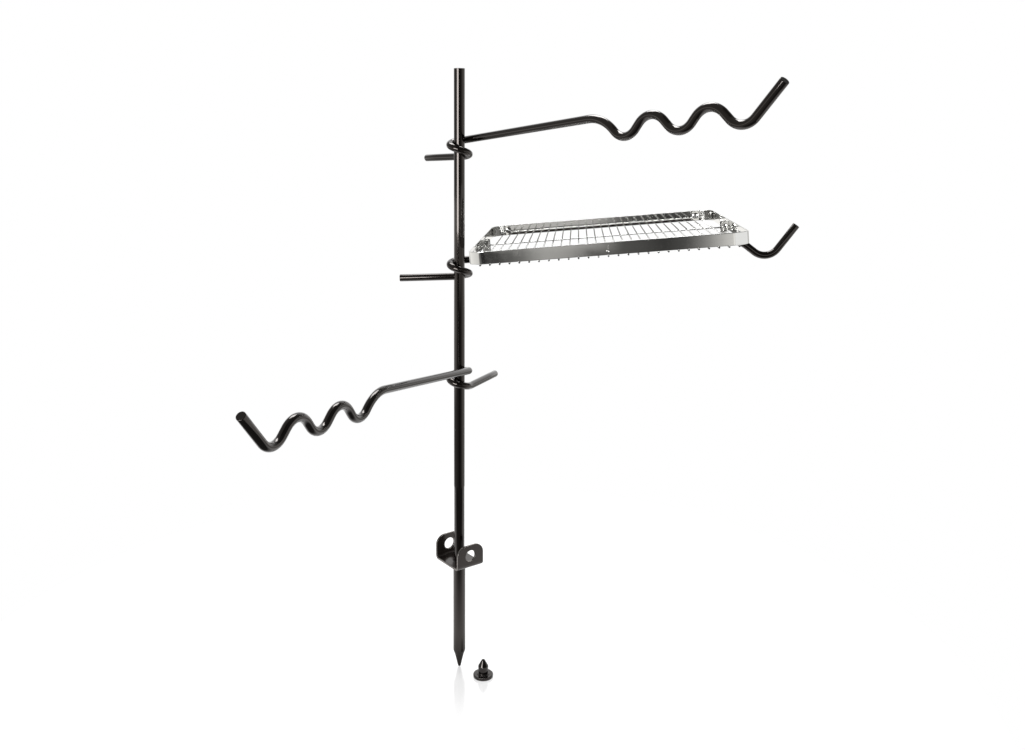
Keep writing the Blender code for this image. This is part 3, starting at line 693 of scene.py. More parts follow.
def swept_bar(line, radius, edge, steps):
    """Round bar carried along a line that is never upright, with sawn ends and broken rims.

    At each point the side is the unit cross product of +Z and the tangent, the up is tangent x
    side, and the ring is radius * (cos a side + sin a up). The end rings shrink over a quarter
    circle of the edge radius, then to the middle of a flat face.
    """
    tangent = unit(np.gradient(line, axis=0))
    side = unit(np.cross([0.0, 0.0, 1.0], tangent))
    up = np.cross(tangent, side)
    bow = np.linspace(math.pi / 2, 0.0, 4)
    face = [0.0, 0.45 * radius, 0.86 * radius]
    end_radius = np.concatenate([face, radius - edge + edge * np.cos(bow)])
    end_shift = np.concatenate([[0.0001, 0.00005, 0.0], edge - edge * np.sin(bow)])
    count, last = len(end_radius), len(line) - 1
    index = np.concatenate([np.zeros(count, int), np.arange(1, last), np.full(count, last)])
    ring = np.concatenate([end_radius, np.full(last - 1, radius), end_radius[::-1]])
    shift = np.concatenate([end_shift, np.zeros(last - 1), -end_shift[::-1]])
    angle = np.linspace(0.0, math.tau, steps, endpoint=False)[None, :, None]
    spread = np.cos(angle) * side[index][:, None] + np.sin(angle) * up[index][:, None]
    middle = line[index] + tangent[index] * shift[:, None]
    points = middle[:, None] + spread * ring[:, None, None]
    edge_mark = np.zeros(len(index))
    edge_mark[2:count] = edge_mark[-count:-2] = 1.0
    return points, round_uv(run_length(line)[index], steps), np.repeat(edge_mark, steps)


def bar_piece(name, line, radius, edge, material, steps=BAR_STEPS, place=None, whole_ends=False):
    """Swept bar as a piece; with whole ends its edge attribute covers the end faces too."""
    points, uv, edge_mark = swept_bar(line, radius, edge, steps)
    if whole_ends:
        edge_mark[: 2 * steps] = edge_mark[-2 * steps :] = 1.0
    flat = points.reshape(-1, 3)
    if place is not None:
        flat = moved(flat, place)
    faces = grid_faces(points.shape[0], steps, False, True)
    return piece_from(name, flat, faces, material, edge_mark, uv)


def wave_profile():
    """Outer part of a pot arm, (along, off): a slanted zigzag of even pitch, then the handle.

    Trough and crest corners lie a swing of pitch / 4 * tan(flank) below and above the middle line.
    """
    reach, drop, pitch, handle_length = 0.3919, 0.0190, 0.1055, 0.0881
    slant, flank, handle_rise = math.radians(-1.3), math.radians(44.9), math.radians(40.6)
    swing = pitch / 4 * math.tan(flank)
    half = np.arange(5)[:, None]
    along = np.array([math.cos(slant), math.sin(slant)])
    square = np.array([-math.sin(slant), math.cos(slant)])
    side = np.where(half % 2 == 0, -1, 1)
    corners = np.array([reach, -drop]) + along * pitch / 2 * half + square * swing * side
    shoulder = [corners[0, 0] + corners[0, 1] / math.tan(flank - slant), 0.0]
    tip = corners[-1] + np.array([math.cos(handle_rise), math.sin(handle_rise)]) * handle_length
    path = np.vstack([[LOOP_RADIUS, 0.0], shoulder, corners, tip])
    return bent_run(path, [0.072, 0.0302, 0.0343, 0.0302, 0.0343, 0.0302], 4.0)


def grill_profile():
    """Outer part of the grill arm: straight under the grate, one trough, then the handle."""
    reach, depth, handle = 0.5353, 0.0433, 0.080
    descent, rise = math.radians(42.3), math.radians(48.8)
    trough = np.array([reach, -depth])
    shoulder = [reach - depth / math.tan(descent), 0.0]
    tip = trough + np.array([math.cos(rise), math.sin(rise)]) * handle
    return bent_run(np.vstack([[LOOP_RADIUS, 0.0], shoulder, trough, tip]), [0.050, 0.0275], 4.0)


ARM_BLACK = gloss_black(
    "arm_gloss_black", (0.0015, 0.0012, 0.001), (0.004, 0.003, 0.0025), 0.06, 640, 0.0000030, 0.60
)
ARMS = [
    ("top_arm", wave_profile(), -52.6, 5.82, 0.131),
    ("grill_arm", grill_profile(), GRILL_YAW, GRILL_RISE, 0.1087),
    ("lower_arm", wave_profile(), -110.4, 7.73, 0.131),
]
for height, (node, profile, yaw, rise, tail) in zip(LOOP_HEIGHTS, ARMS):
    place = Matrix.Translation((0.0, 0.0, height)) @ Matrix.Rotation(math.radians(yaw), 4, "Z")
    line = arm_line(profile, rise, tail)
    arm = bar_piece(f"{node}_bent_bar", line, BAR_RADIUS, BAR_END_EDGE, ARM_BLACK, place=place)
    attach(arm, node)
    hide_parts(node)


# Grate frame: one steel strip on edge, bent round four corners and joined at the front middle.
# It is bright chrome plated, with the slight ripple that a rolled strip keeps.
GRATE_LENGTH = 0.433
GRATE_DEPTH = 0.449
GRATE_CORNER = 0.026
GRATE_STANDOFF = 0.0151
STRIP_THICKNESS = 0.0016
STRIP_LOW = 0.0016
STRIP_HIGH = 0.0214
STRIP_EDGE = 0.0006
GRATE_REACH = 0.257
strip_middle = (STRIP_LOW + STRIP_HIGH) / 2
grate_place = (
    Matrix.Translation((0.0, 0.0, LOOP_HEIGHTS[1]))
    @ Matrix.Rotation(math.radians(GRILL_YAW), 4, "Z")
    @ Matrix.Rotation(math.radians(-GRILL_RISE), 4, "Y")
    @ Matrix.Translation((GRATE_REACH, LOOP_RADIUS, GRATE_STANDOFF))
)


def plating_group():
    """Chrome plate: polish lines and a slow ripple as a height, and a thin haze as a mask."""
    places, labels = ["Lines Place", "Place"], ["Height", "Haze", "Tone"]
    group, given, result = new_group("bright_plating", places, ["Ripple"], labels)
    place = given.outputs["Place"]
    lines = noise(group, given.outputs["Lines Place"], 1.0, 3.0, 0.6)
    fine = maths(group, "MULTIPLY", lines, 0.00025)
    slow = maths(group, "MULTIPLY", noise(group, place, 17.0, 1.0), given.outputs["Ripple"])
    haze = noise(group, place, 58.0, 4.0, 0.62)
    fill(group, result, {
        "Height": maths(group, "ADD", fine, slow),
        "Haze": mapped(group, haze, 0.40, 0.75),
        "Tone": lines,
    })
    return group


PLATING = plating_group()


def bright_chrome(name, low, high, rough_low, rough_high, ripple, line_scale):
    """Bright plating on steel: polish lines in the tone, haze in the roughness, ripple in bump."""
    material = bpy.data.materials.new(name)
    material.use_nodes = True
    tree = material.node_tree
    shader = tree.nodes["Principled BSDF"]
    shader.inputs["Metallic"].default_value = 1.0
    place = put(tree, "ShaderNodeTexCoord")
    along = put(tree, "ShaderNodeMapping", {"Vector": place.outputs["UV"], "Scale": line_scale})
    sockets = {"Lines Place": along, "Place": place.outputs["Object"], "Ripple": ripple}
    skin = put(tree, "ShaderNodeGroup", sockets, node_tree=PLATING)
    relief = {"Strength": 1.0, "Distance": 0.0006, "Height": skin.outputs["Height"]}
    fill(tree, shader, {
        "Base Color": mixed(tree, skin.outputs["Tone"], (*low, 1.0), (*high, 1.0)),
        "Roughness": mapped(tree, skin.outputs["Haze"], 0.0, 1.0, rough_low, rough_high),
        "Normal": put(tree, "ShaderNodeBump", relief),
    })
    return material


def strip_points():
    """Strip section carried round a rounded rectangle.

    The rectangle's middle line is bent_run through its four corners. The section is a rectangle
    of thickness by height with rounded long edges, laid along the outward normal and +Z.
    """
    length = GRATE_LENGTH - STRIP_THICKNESS
    depth = GRATE_DEPTH - STRIP_THICKNESS
    bend = GRATE_CORNER - STRIP_THICKNESS / 2
    x, y = length / 2, depth / 2
    turns = bent_run([(0, -y), (x, -y), (x, y), (-x, y), (-x, -y), (0, -y)], [bend] * 4, 5.0)[:-1]
    turns = held_runs(turns, True, margin=0.0010)
    outward = outward_of(turns)
    half = STRIP_THICKNESS / 2
    section = bent_run(
        [
            (half, strip_middle),
            (half, STRIP_HIGH),
            (-half, STRIP_HIGH),
            (-half, STRIP_LOW),
            (half, STRIP_LOW),
            (half, strip_middle),
        ],
        [STRIP_EDGE] * 4,
        22.0,
    )[:-1]
    section = held_runs(section, True)
    flat = turns[:, None] + outward[:, None] * section[None, :, 0:1]
    uv = np.stack(np.broadcast_arrays(run_length(turns)[:, None], section[None, :, 1]), axis=2)
    return raised(flat, section[None, :, 1:2]), uv.reshape(-1, 2)


STRIP_LINES = (3.0, 900.0, 1.0)
STRIP_CHROME = bright_chrome(
    "strip_bright_chrome", (0.78, 0.78, 0.76), (0.86, 0.86, 0.84), 0.03, 0.07, 0.10, STRIP_LINES
)
strip, strip_uv = strip_points()
grate_frame = piece_from(
    "grate_frame_strip",
    moved(strip.reshape(-1, 3), grate_place),
    grid_faces(*strip.shape[:2], True, True),
    STRIP_CHROME,
    uv=strip_uv,
)
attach(grate_frame, "grate")
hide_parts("grate_frame")


# Joint of the strip: its two ends butt at the middle of the front and are pressed together
# by a clinch, a small round button with a dimple. The plating runs over all of it.
RIDGE_HALF = 0.0003
RIDGE_HEIGHT = 0.0003
RIDGE_SINK = 0.0002
RIDGE_INSET = 0.0010
BUTTON_RADIUS = 0.0024
BUTTON_HEIGHT = 0.0004
BUTTON_DIP = 0.0004
BUTTON_DROP = 0.0038
BUTTON_LIFT = 0.00005
BUTTON_BACK = -0.0004
front_face = -GRATE_DEPTH / 2


def dimple_profile(radius, height, dip):
    """Button: height * cos(pi s / 2) ** 0.6 - dip * exp(-(s / 0.45) ** 2), s the share out."""
    share = np.linspace(0.0, 1.0, 13)
    crown = height * np.cos(math.pi / 2 * share) ** 0.6 - dip * np.exp(-((share / 0.45) ** 2))
    profile = np.stack([share * radius, np.maximum(crown, BUTTON_BACK / 2)], axis=1)
    return np.vstack([profile, [[radius, BUTTON_BACK], [0.0, BUTTON_BACK]]])


def ridge_points():
    """Low upright ridge: half an ellipse across, faded at both ends by the root of a sine."""
    share = np.linspace(0.0, 1.0, 25)[:, None]
    bow = np.linspace(0.0, math.pi, 9)
    size = np.sqrt(np.maximum(np.sin(math.pi * share), 0.0)) + 0.02
    x = RIDGE_HALF * np.cos(bow) * size
    y = front_face + RIDGE_SINK - RIDGE_HEIGHT * np.sin(bow) * size
    z = STRIP_LOW + RIDGE_INSET + share * (STRIP_HIGH - STRIP_LOW - 2 * RIDGE_INSET)
    return np.stack(np.broadcast_arrays(x, y, z), axis=2)


facing_front = Matrix.Rotation(math.pi / 2, 4, "X")
button = turned_points(dimple_profile(BUTTON_RADIUS, BUTTON_HEIGHT, BUTTON_DIP), 28)
spot = Matrix.Translation((0.0, front_face + BUTTON_LIFT, strip_middle - BUTTON_DROP))
ridge = ridge_points()
joint_points, joint_faces = joined([
    (moved(button.reshape(-1, 3), spot @ facing_front), grid_faces(*button.shape[:2], False, True)),
    (ridge, grid_faces(*ridge.shape[:2], False, True)),
])
strip_joint = piece_from(
    "strip_joint_clinch", moved(joint_points, grate_place), joint_faces, STRIP_CHROME
)
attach(strip_joint, "grate")


# Grate bed: 27 straight wires pressed up against the strip and two support wires under them.
# Every crossing is a resistance weld, which leaves a small flattened collar, and all is plated.
WIRE_RADIUS = 0.0013
WIRE_COUNT = 27
WIRE_MARGIN = 0.01825
SUPPORT_INSET = 0.1225
WIRE_STEPS = 16
WIRE_END_EDGE = 0.00045
WIRE_BOW = 0.00022
SUPPORT_BOW = 0.0003
COLLAR_GRID = (6, 8)
CROSSING_SIZE = (0.0017, 0.0015, 0.0010)
WIRE_END_SIZE = (0.0013, 0.0009, 0.0008)
support_drop = -(2 * WIRE_RADIUS + FIT_GAP)
support_y = GRATE_DEPTH / 2 - SUPPORT_INSET


def half_depth_at(x):
    """Half depth of the frame's outline at a place x: a quarter circle past the straight part."""
    into = max(abs(x) - (GRATE_LENGTH / 2 - GRATE_CORNER), 0.0)
    return GRATE_DEPTH / 2 - GRATE_CORNER + math.sqrt(max(GRATE_CORNER**2 - into**2, 0.0))


def wire_line(start, end, bow):
    """Straight wire with a slight sideways bow, a half sine of the given height at the middle."""
    share = np.linspace(0.0, 1.0, 25)[:, None]
    start, end = np.asarray(start, float), np.asarray(end, float)
    side = unit(np.cross(end - start, [0.0, 0.0, 1.0]))
    return start + (end - start) * share + side * bow * np.sin(math.pi * share)


def add_dark_ends(material):
    """Dark, dull ends where the edge attribute is 1."""
    tree = material.node_tree
    shader = tree.nodes["Principled BSDF"]
    end_mark = put(tree, "ShaderNodeAttribute", attribute_name="edge").outputs["Fac"]
    colour = shader.inputs["Base Color"].links[0].from_socket
    clean = shader.inputs["Roughness"].links[0].from_socket
    dull = mapped(tree, end_mark, 0.0, 1.0, 0.0, 0.35)
    fill(tree, shader, {
        "Base Color": mixed(tree, end_mark, colour, (0.030, 0.027, 0.025, 1.0)),
        "Roughness": maths(tree, "ADD", clean, dull, clamp=True),
    })


WIRE_CHROME = bright_chrome(
    "wire_bright_chrome", (0.88, 0.88, 0.87), (0.95, 0.95, 0.94), 0.03, 0.07, 0.05, (8.0, 60.0, 1.0)
)
add_dark_ends(WIRE_CHROME)
wire_pitch = (GRATE_LENGTH - 2 * WIRE_MARGIN) / (WIRE_COUNT - 1)
wire_places = (np.arange(WIRE_COUNT) - (WIRE_COUNT - 1) / 2) * wire_pitch
wire_bows = WIRE_BOW * np.sin(np.arange(WIRE_COUNT) * 2.4 + 0.6)
support_end = GRATE_LENGTH / 2 - STRIP_THICKNESS
bed = []
for index, (x, bow) in enumerate(zip(wire_places, wire_bows)):
    half = half_depth_at(x)
    name = f"wire_{index + 1:02d}"
    bed.append((name, f"cross_{name}", (x, -half, 0.0), (x, half, 0.0), bow))
for side_name, side in (("front", -1), ("back", 1)):
    y = side * support_y
    ends = (-support_end, y, support_drop), (support_end, y, support_drop)
    bed.append((f"support_{side_name}", f"support_wire_{side_name}", *ends, SUPPORT_BOW * side))
for name, node, start, end, bow in bed:
    line = wire_line(start, end, bow)
    wire = bar_piece(
        f"bed_{name}", line, WIRE_RADIUS, WIRE_END_EDGE, WIRE_CHROME, WIRE_STEPS, grate_place, True
    )
    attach(wire, "grate")
    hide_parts(node)


def collars(centres, size):
    """Low-sided ellipsoids, one at each centre: the unit ball's points times size, plus centre."""
    ball, cells = unit_ball(*COLLAR_GRID) * size, grid_faces(*COLLAR_GRID, False, True)
    return [(ball + centre, cells) for centre in centres]


crossings, wire_ends = [], []
for x in wire_places:
    end_y = half_depth_at(x) - STRIP_THICKNESS / 2
    for side in (-1, 1):
        crossings.append((x, side * support_y, support_drop / 2))
        wire_ends.append((x, side * end_y, WIRE_RADIUS))
collar_points, collar_faces = joined(
    collars(crossings, CROSSING_SIZE) + collars(wire_ends, WIRE_END_SIZE)
)
collar_points = moved(collar_points, grate_place)
welds = piece_from("bed_weld_collars", collar_points, collar_faces, WIRE_CHROME, smooth_angle=60)
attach(welds, "grate")


# Hangers: a short slotted channel inside each end strip, which drops over the grill arm.
# Pressed from sheet, edges rolled by the press, plated and held by one rivet each.
HANGER_SHEET = 0.002
HANGER_EDGE = 0.00035
HANGER_WEB = 0.0042
LIP_LONGER = 0.005
HANGER_LINES = (60.0, 60.0, 60.0)
HANGER_CHROME = bright_chrome(
    "hanger_bright_plate", (0.84, 0.84, 0.82), (0.93, 0.93, 0.91), 0.05, 0.09, 0.08, HANGER_LINES
)


def softened_copy(node, name, edge, material):
    """Copy of a pressed part's solid with longer lips, its corners merged and its edges rounded.

    Points that lie further than the web from the strip's inside move towards the middle.
    """
    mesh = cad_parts[node].data.copy()
    mesh.name = name
    mesh.materials.clear()
    bm = bmesh.new()
    bm.from_mesh(mesh)
    bmesh.ops.remove_doubles(bm, verts=bm.verts, dist=1e-6)
    bmesh.ops.dissolve_limit(bm, angle_limit=math.radians(1), verts=bm.verts, edges=bm.edges)
    back = grate_place.inverted()
    for vertex in bm.verts:
        spot = back @ vertex.co
        if support_end - abs(spot.x) > HANGER_WEB:
            spot.x -= math.copysign(LIP_LONGER, spot.x)
            vertex.co = grate_place @ spot
    bend = math.radians(35)
    sharp = [item for item in bm.edges if item.is_manifold and item.calc_face_angle() > bend]
    bmesh.ops.bevel(
        bm, geom=sharp, offset=edge, segments=2, profile=0.5, affect="EDGES", clamp_overlap=True
    )
    bmesh.ops.triangulate(bm, faces=[face for face in bm.faces if len(face.verts) > 4])
    bm.to_mesh(mesh)
    bm.free()
    piece = finished(name, mesh, material, 40)
    flat_faces = piece.modifiers.new("flat_faces", "WEIGHTED_NORMAL")
    flat_faces.keep_sharp = True
    flat_faces.weight = 100
    return piece


ARCH_HALF = 0.0042
ARCH_LEG = 0.0085
ARCH_RISE = 0.00035
ARCH_HEIGHT = 0.0095
ARCH_INSET = 0.0070
LIP_FACE = BAR_RADIUS + 2 * FIT_GAP + HANGER_SHEET
arch_x = support_end - FIT_GAP - ARCH_INSET


def arch_points():
    """Pressed arch: its outline, a half circle on two legs, shrunk to the middle in shares s.

    The height is a rim, rise * exp(-((s - 0.72) / 0.20) ** 2), round a hollow middle, and the last
    rows close the boss under the plate's face.
    """
    bow = np.linspace(0.0, math.pi, 19)
    top = np.stack([ARCH_HALF * np.cos(bow), ARCH_HALF * np.sin(bow)], axis=1)
    leg = flat_run(-ARCH_HALF, np.linspace(0.0, -ARCH_LEG, 8)[1:])
    foot = flat_run(np.linspace(-ARCH_HALF, ARCH_HALF, 8)[1:-1], -ARCH_LEG)
    outline = np.concatenate([top, leg, foot, leg[::-1] * [-1, 1]])
    middle = np.array([0.0, -0.4 * ARCH_LEG])
    share = np.concatenate([np.linspace(0.0, 1.0, 15), [1.0, 0.0]])
    rise = ARCH_RISE * np.exp(-(((share - 0.72) / 0.20) ** 2))
    rise[-3:] = (0.00002, -0.0003, -0.0003)
    flat = middle + (outline - middle)[None] * share[:, None, None]
    return raised(flat, rise[:, None, None])


arch = arch_points()
for name, sign in (("left", -1), ("right", 1)):
    hanger = softened_copy(f"hanger_{name}", f"hanger_{name}_pressed", HANGER_EDGE, HANGER_CHROME)
    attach(hanger, "grate")
    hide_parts(f"hanger_{name}")
    arch_parts = []
    for turn, face in ((0.0, -LIP_FACE), (math.pi, LIP_FACE)):
        spot = Matrix.Translation((sign * arch_x, face, ARCH_HEIGHT))
        flat = moved(arch.reshape(-1, 3), spot @ Matrix.Rotation(turn, 4, "Z") @ facing_front)
        arch_parts.append((flat, grid_faces(*arch.shape[:2], False, True)))
    both, arch_faces = joined(arch_parts)
    arches = piece_from(
        f"hanger_{name}_arches", moved(both, grate_place), arch_faces, HANGER_CHROME
    )
    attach(arches, "grate")


# Rivets: two round heads that hold the hangers, and two flat ones at the ends of the back strip.
# Each is set from the outside and closed over a small foot, plated with the frame.
RIVET_SHANK = 0.002
RIVET_HEIGHT = 0.0115
RIVET_HEAD = 0.0045
RIVET_RISE = 0.0018
STUD_HEAD = 0.00575
STUD_RISE = 0.0012
RIVET_STEPS = 36
RIVET_LINES = (40.0, 40.0, 40.0)
RIVET_CHROME = bright_chrome(
    "rivet_bright_chrome", (0.68, 0.68, 0.67), (0.82, 0.82, 0.81), 0.05, 0.12, 0.05, RIVET_LINES
)


def rivet_profile(head, rise, grip):
    """Rivet: a crown rise * cos(0.98 s pi / 2) ** 0.7 over the head, the shank, and a set foot."""
    share = np.linspace(0.0, 1.0, 12)
    height = FIT_GAP + rise * np.cos(share * math.pi / 2 * 0.98) ** 0.7
    crown = np.stack([share * head, height], axis=1)
    foot = -grip - FIT_GAP
    rest = bent_run(
        [
            (head, FIT_GAP + 0.0002),
            (head, FIT_GAP * 0.5),
            (RIVET_SHANK, FIT_GAP * 0.5),
            (RIVET_SHANK, foot),
            (1.8 * RIVET_SHANK, foot),
            (1.4 * RIVET_SHANK, foot - 0.5 * RIVET_SHANK),
            (0.0, foot - 0.7 * RIVET_SHANK),
        ],
        [0.0001, 0.0001, 0.0001, 0.0003, 0.0008],
        20,
    )
    return np.concatenate([crown, rest])


hanger_grip = STRIP_THICKNESS + HANGER_SHEET + FIT_GAP
for name, sign in (("left", -1), ("right", 1)):
    outward = Matrix.Rotation(sign * math.pi / 2, 4, "Y")
    outside = Matrix.Translation((sign * GRATE_LENGTH / 2, 0.0, RIVET_HEIGHT))
    rivet = turned_piece(
        f"hanger_rivet_{name}_set",
        rivet_profile(RIVET_HEAD, RIVET_RISE, hanger_grip),
        RIVET_CHROME,
        place=grate_place @ outside @ outward,
        steps=RIVET_STEPS,
    )
    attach(rivet, "grate")
    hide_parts(f"hanger_rivet_{name}")
    stud_x = sign * (GRATE_LENGTH / 2 - GRATE_CORNER - STUD_HEAD)
    inside = Matrix.Translation((stud_x, GRATE_DEPTH / 2 - STRIP_THICKNESS, RIVET_HEIGHT))
    stud = turned_piece(
        f"strip_rivet_{name}_set",
        rivet_profile(STUD_HEAD, STUD_RISE, STRIP_THICKNESS),
        RIVET_CHROME,
        place=grate_place @ inside @ facing_front,
        steps=RIVET_STEPS,
    )
    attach(stud, "grate")
    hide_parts(f"strip_rivet_{name}")


# Drive plug: a mushroom turned from solid bar, which closes the sleeve while it is hammered in.
# It stands on its striking head beside the spike, in the same gloss black.
PLUG_X = 0.0457
PLUG_Y = -0.0343
PLUG_HEAD = 0.0182
PLUG_HEAD_HEIGHT = 0.0055
PLUG_HEIGHT = 0.0335
PLUG_BLACK = gloss_black(
    "plug_gloss_black", (0.0015, 0.0015, 0.0015), (0.004, 0.0035, 0.003), 0.06, 700, 0.000004, 0.55
)
stem = SLEEVE_BORE - 2 * FIT_GAP
collar_top = PLUG_HEAD_HEIGHT + 0.0011
plug_profile = solid_section(
    [
        (0.0004, PLUG_HEIGHT),
        (0.0028, PLUG_HEIGHT - 0.0011),
        (stem, PLUG_HEIGHT - 0.0128),
        (0.96 * stem, collar_top + 0.004),
        (0.96 * stem, collar_top),
        (stem + 0.0020, collar_top),
        (stem + 0.0022, PLUG_HEAD_HEIGHT),
        (PLUG_HEAD, PLUG_HEAD_HEIGHT),
        (PLUG_HEAD, 0.0),
        (0.0004, 0.0),
    ],
    [0.0022, 0.0020, 0.0010, 0.0007, 0.0005, 0.0004, 0.0012, 0.0010],
    10,
)
plug = turned_piece(
    "drive_plug_turned", plug_profile, PLUG_BLACK, place=Matrix.Translation((PLUG_X, PLUG_Y, 0.0))
)
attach(plug, "drive_plug")
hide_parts("drive_plug")


# Studio: a pale floor that mirrors the foot faintly, a tall softbox front left, one overhead, a
# card on the right for the plating, and a white room that darkens behind the camera.
FLOOR_RADIUS = 0.95
FLOOR_LEVEL = -0.0002
FLOOR_RINGS = 12
FLOOR_SPOKES = 96
CARD_ROWS = 4
CARD_COLUMNS = 9


def floor_points():
    """Flat disc just under the object: even rings of (r cos a, r sin a), from the middle out."""
    radius = np.linspace(0.0, FLOOR_RADIUS, FLOOR_RINGS)[:, None]
    angle = np.linspace(0.0, math.tau, FLOOR_SPOKES, endpoint=False)
    return polar(radius, angle, FLOOR_LEVEL).reshape(-1, 3)


def empty_material(name):
    """Material with an empty node tree."""
    material = bpy.data.materials.new(name)
    material.use_nodes = True
    material.node_tree.nodes.clear()
    return material


def floor_material():
    """Pale matt floor, white to the camera, with a faint mirror near the foot.

    Polished metal sees it white near the stand, falling off towards the camera and dim at the foot.
    """
    material = empty_material("pale_floor")
    tree = material.node_tree
    path = put(tree, "ShaderNodeLightPath")
    place = put(tree, "ShaderNodeTexCoord").outputs["Object"]
    depth = put(tree, "ShaderNodeSeparateXYZ", {0: place}).outputs["Y"]
    reach = put(tree, "ShaderNodeVectorMath", {0: place}, operation="LENGTH").outputs["Value"]
    mirror = mapped(tree, reach, 0.0, 0.36, 0.34, 0.0)
    rest = maths(tree, "SUBTRACT", 0.83, mirror)
    lift = {"Strength": maths(tree, "MULTIPLY", rest, path.outputs["Is Camera Ray"])}
    matt = put(tree, "ShaderNodeBsdfDiffuse", {"Color": (0.48, 0.48, 0.48, 1.0)})
    gloss = put(tree, "ShaderNodeBsdfGlossy", {"Color": mirror, "Roughness": 0.15})
    lifted = put(tree, "ShaderNodeEmission", lift)
    matt_lift = put(tree, "ShaderNodeAddShader", {0: matt, 1: lifted})
    shown = put(tree, "ShaderNodeAddShader", {0: matt_lift, 1: gloss})
    fall = mapped(tree, depth, -0.12, -0.42, 1.0, 0.08)
    foot_shade = mapped(tree, reach, 0.0, 0.14, 0.25, 1.0)
    seen = maths(tree, "MULTIPLY", fall, foot_shade)
    in_gloss = put(tree, "ShaderNodeEmission", {"Strength": seen})
    glossy_ray = path.outputs["Is Glossy Ray"]
    either = put(tree, "ShaderNodeMixShader", {0: glossy_ray, 1: shown, 2: in_gloss})
    put(tree, "ShaderNodeOutputMaterial", {"Surface": either})
    return material


def card_material():
    """White card that only polished surfaces see: emission on glossy rays, clear on all others."""
    material = empty_material("side_card")
    tree = material.node_tree
    glossy_ray = put(tree, "ShaderNodeLightPath").outputs["Is Glossy Ray"]
    clear = put(tree, "ShaderNodeBsdfTransparent")
    bright = put(tree, "ShaderNodeEmission", {"Strength": 0.90})
    either = put(tree, "ShaderNodeMixShader", {0: glossy_ray, 1: clear, 2: bright})
    put(tree, "ShaderNodeOutputMaterial", {"Surface": either})
    return material


def card_points():
    """Upright card from front right to right: a straight run in plan, carried up in even rows."""
    share = np.linspace(0.0, 1.0, CARD_COLUMNS)
    height = np.linspace(0.71, 0.86, CARD_ROWS)[:, None]
    x, y = 0.512 + 0.49 * share, -0.60 + 0.70 * share
    return np.stack(np.broadcast_arrays(x, y, height), axis=2).reshape(-1, 3)


card_faces = grid_faces(CARD_ROWS, CARD_COLUMNS, False, False)
card = piece_from("side_card", card_points(), card_faces, card_material())
floor_faces = grid_faces(FLOOR_RINGS, FLOOR_SPOKES, False, True)
floor = piece_from("studio_floor", floor_points(), floor_faces, floor_material())


def ramped(tree, share, stops):
    """Brightness over a share of a full turn: a ramp of (degrees, brightness) stops, a bit warm."""
    node = put(tree, "ShaderNodeValToRGB", {"Fac": share})
    ramp = node.color_ramp
    ramp.interpolation = "LINEAR"
    ramp.elements.remove(ramp.elements[-1])
    for index, (angle, bright) in enumerate(stops):
        position = (angle + 180) / 360
        stop = ramp.elements[0] if index == 0 else ramp.elements.new(position)
        stop.position = position
        stop.color = (bright, bright * 0.985, bright * 0.955, 1.0)
    return node.outputs["Color"]


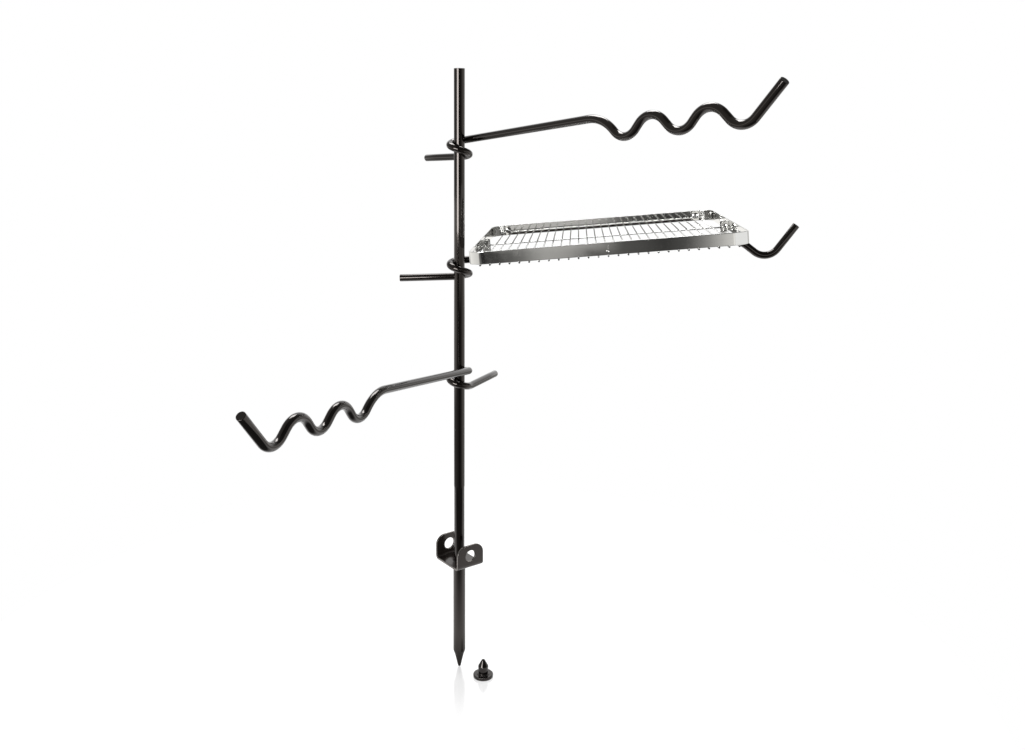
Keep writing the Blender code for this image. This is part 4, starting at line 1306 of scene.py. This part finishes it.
def studio_world():
    """White room: full white to the camera, even soft light, and for gloss a dark front.

    The azimuth is the arc tangent of x over -y, 0 straight behind the camera, and the rise is the
    arc sine of z. Ramps over the azimuth give what polished metal sees: the room's walls, the
    same walls high up, and the low band between the softboxes and the table, where the camera
    and its stand are, with a brighter upper part on the left. A white sweep stands at the back.
    """
    world = bpy.data.worlds.new("white_studio")
    world.use_nodes = True
    tree = world.node_tree
    tree.nodes.clear()
    path = put(tree, "ShaderNodeLightPath")
    way = put(tree, "ShaderNodeTexCoord").outputs["Generated"]
    x, y, z = put(tree, "ShaderNodeSeparateXYZ", {0: way}).outputs
    azimuth = maths(tree, "ARCTAN2", x, maths(tree, "MULTIPLY", y, -1.0))
    rise = maths(tree, "ARCSINE", z)
    share = mapped(tree, azimuth, -math.pi, math.pi)
    walls = ramped(tree, share, [
        (-180, 0.36), (-150, 0.32), (-132, 0.30), (-62, 0.32), (-50, 0.24), (-12, 0.12), (-6, 0.06),
        (20, 0.06), (34, 0.12), (50, 0.34), (70, 0.60), (86, 0.90), (112, 0.80), (130, 0.42),
        (180, 0.36),
    ])
    high_walls = ramped(tree, share, [
        (-180, 0.30), (-132, 0.26), (-62, 0.28), (-50, 0.20), (-12, 0.10), (-6, 0.05),
        (34, 0.05), (60, 0.08), (112, 0.10), (140, 0.16), (180, 0.30),
    ])
    low_band = ramped(tree, share, [
        (-180, 1.00), (-120, 0.95), (-60, 0.75), (-50, 0.70), (-42, 0.10), (-30, 0.02),
        (-8.9, 0.03), (-8.5, 0.04), (-8.1, 0.14), (-6.0, 0.18), (-5.3, 0.60), (-4.5, 0.52),
        (-3.9, 0.15), (-2.9, 0.11), (-0.5, 0.085), (1.8, 0.035), (2.8, 0.08), (3.7, 0.22),
        (4.6, 0.47), (5.8, 0.84), (7.2, 1.00), (10, 0.80), (18, 0.50), (60, 0.50), (110, 1.00),
        (180, 1.00),
    ])
    upper_band = ramped(tree, share, [
        (-180, 1.00), (-14, 1.00), (-9, 0.60), (-2, 0.42), (180, 0.42),
    ])
    all_walls = mixed(tree, mapped(tree, rise, 0.12, 0.30), walls, high_walls)
    over_horizon = mapped(tree, rise, -0.07, -0.05)
    tall = maths(tree, "MULTIPLY", over_horizon, mapped(tree, rise, 0.76, 0.68))
    sweep = maths(tree, "MULTIPLY", tall, mapped(tree, y, 0.68, 0.78))
    backed = mixed(tree, sweep, all_walls, (1.0, 1.0, 1.0, 1.0))
    upper_part = mapped(tree, rise, -0.118, -0.110)
    lit_part = maths(tree, "MULTIPLY", upper_part, mapped(tree, azimuth, -0.02, -0.05))
    lit_band = mixed(tree, lit_part, low_band, upper_band)
    lower = maths(tree, "ADD", rise, mapped(tree, x, -0.6, -0.9, 0.0, 0.10))
    over_foot = mapped(tree, lower, -0.180, -0.150)
    in_band = maths(tree, "MULTIPLY", over_foot, mapped(tree, rise, -0.058, -0.070))
    room = mixed(tree, in_band, backed, lit_band)
    glossy_ray, clear_ray = path.outputs["Is Glossy Ray"], path.outputs["Is Transmission Ray"]
    mirror = maths(tree, "MAXIMUM", glossy_ray, clear_ray)
    plain = mixed(tree, mirror, (0.30, 0.30, 0.30, 1.0), room)
    shown = mixed(tree, path.outputs["Is Camera Ray"], plain, (1.0, 1.0, 1.0, 1.0))
    ground = put(tree, "ShaderNodeBackground", {"Color": shown})
    put(tree, "ShaderNodeOutputWorld", {"Surface": ground})
    return world


def softbox(name, spot, aim, width, height, power):
    """Rectangular lamp at a spot, turned to face the point that it aims at."""
    data = bpy.data.lights.new(name, "AREA")
    data.shape = "RECTANGLE"
    data.size = width
    data.size_y = height
    data.energy = power
    lamp = bpy.data.objects.new(name, data)
    bpy.context.scene.collection.objects.link(lamp)
    lamp.location = spot
    lamp.rotation_mode = "QUATERNION"
    lamp.rotation_quaternion = (Vector(spot) - Vector(aim)).to_track_quat("Z", "Y")
    return lamp


softbox("tall_softbox", (-1.545, -2.57, 1.01), (0.0, 0.0, 1.01), 1.83, 1.00, 60.0)
softbox("overhead_softbox", (-0.10, 0.85, 2.45), (0.05, -0.1, 0.8), 1.35, 0.75, 25.0)

scene = bpy.context.scene
scene.world = studio_world()
scene.view_settings.view_transform = "Standard"

PHOTO_WIDTH = 1025.0
PHOTO_HEIGHT = 750.0
FOCAL_PIXELS = 976.0
AXIS_ROW = 276.63
SENSOR = 36.0
CAMERA_SPOT = (0.0938, -1.7048, 0.9832)
CAMERA_PITCH = 8.212
CAMERA_ROLL = 0.45
camera_data = bpy.data.cameras.new("photo_camera")
camera_data.sensor_width = SENSOR
camera_data.lens = SENSOR * FOCAL_PIXELS / PHOTO_WIDTH
camera_data.shift_y = (AXIS_ROW - PHOTO_HEIGHT / 2) / PHOTO_WIDTH
camera = bpy.data.objects.new("photo_camera", camera_data)
scene.collection.objects.link(camera)
pitch = math.radians(CAMERA_PITCH)
roll = math.radians(CAMERA_ROLL)
forward = Vector((0.0, math.cos(pitch), -math.sin(pitch)))
level_up = Vector((0.0, math.sin(pitch), math.cos(pitch)))
level_right = Vector((1.0, 0.0, 0.0))
right = level_right * math.cos(roll) + level_up * math.sin(roll)
upward = level_up * math.cos(roll) - level_right * math.sin(roll)
turned = Matrix((right, upward, -forward)).transposed().to_4x4()
camera.matrix_world = Matrix.Translation(CAMERA_SPOT) @ turned
camera_data.clip_start = 0.05
scene.camera = camera
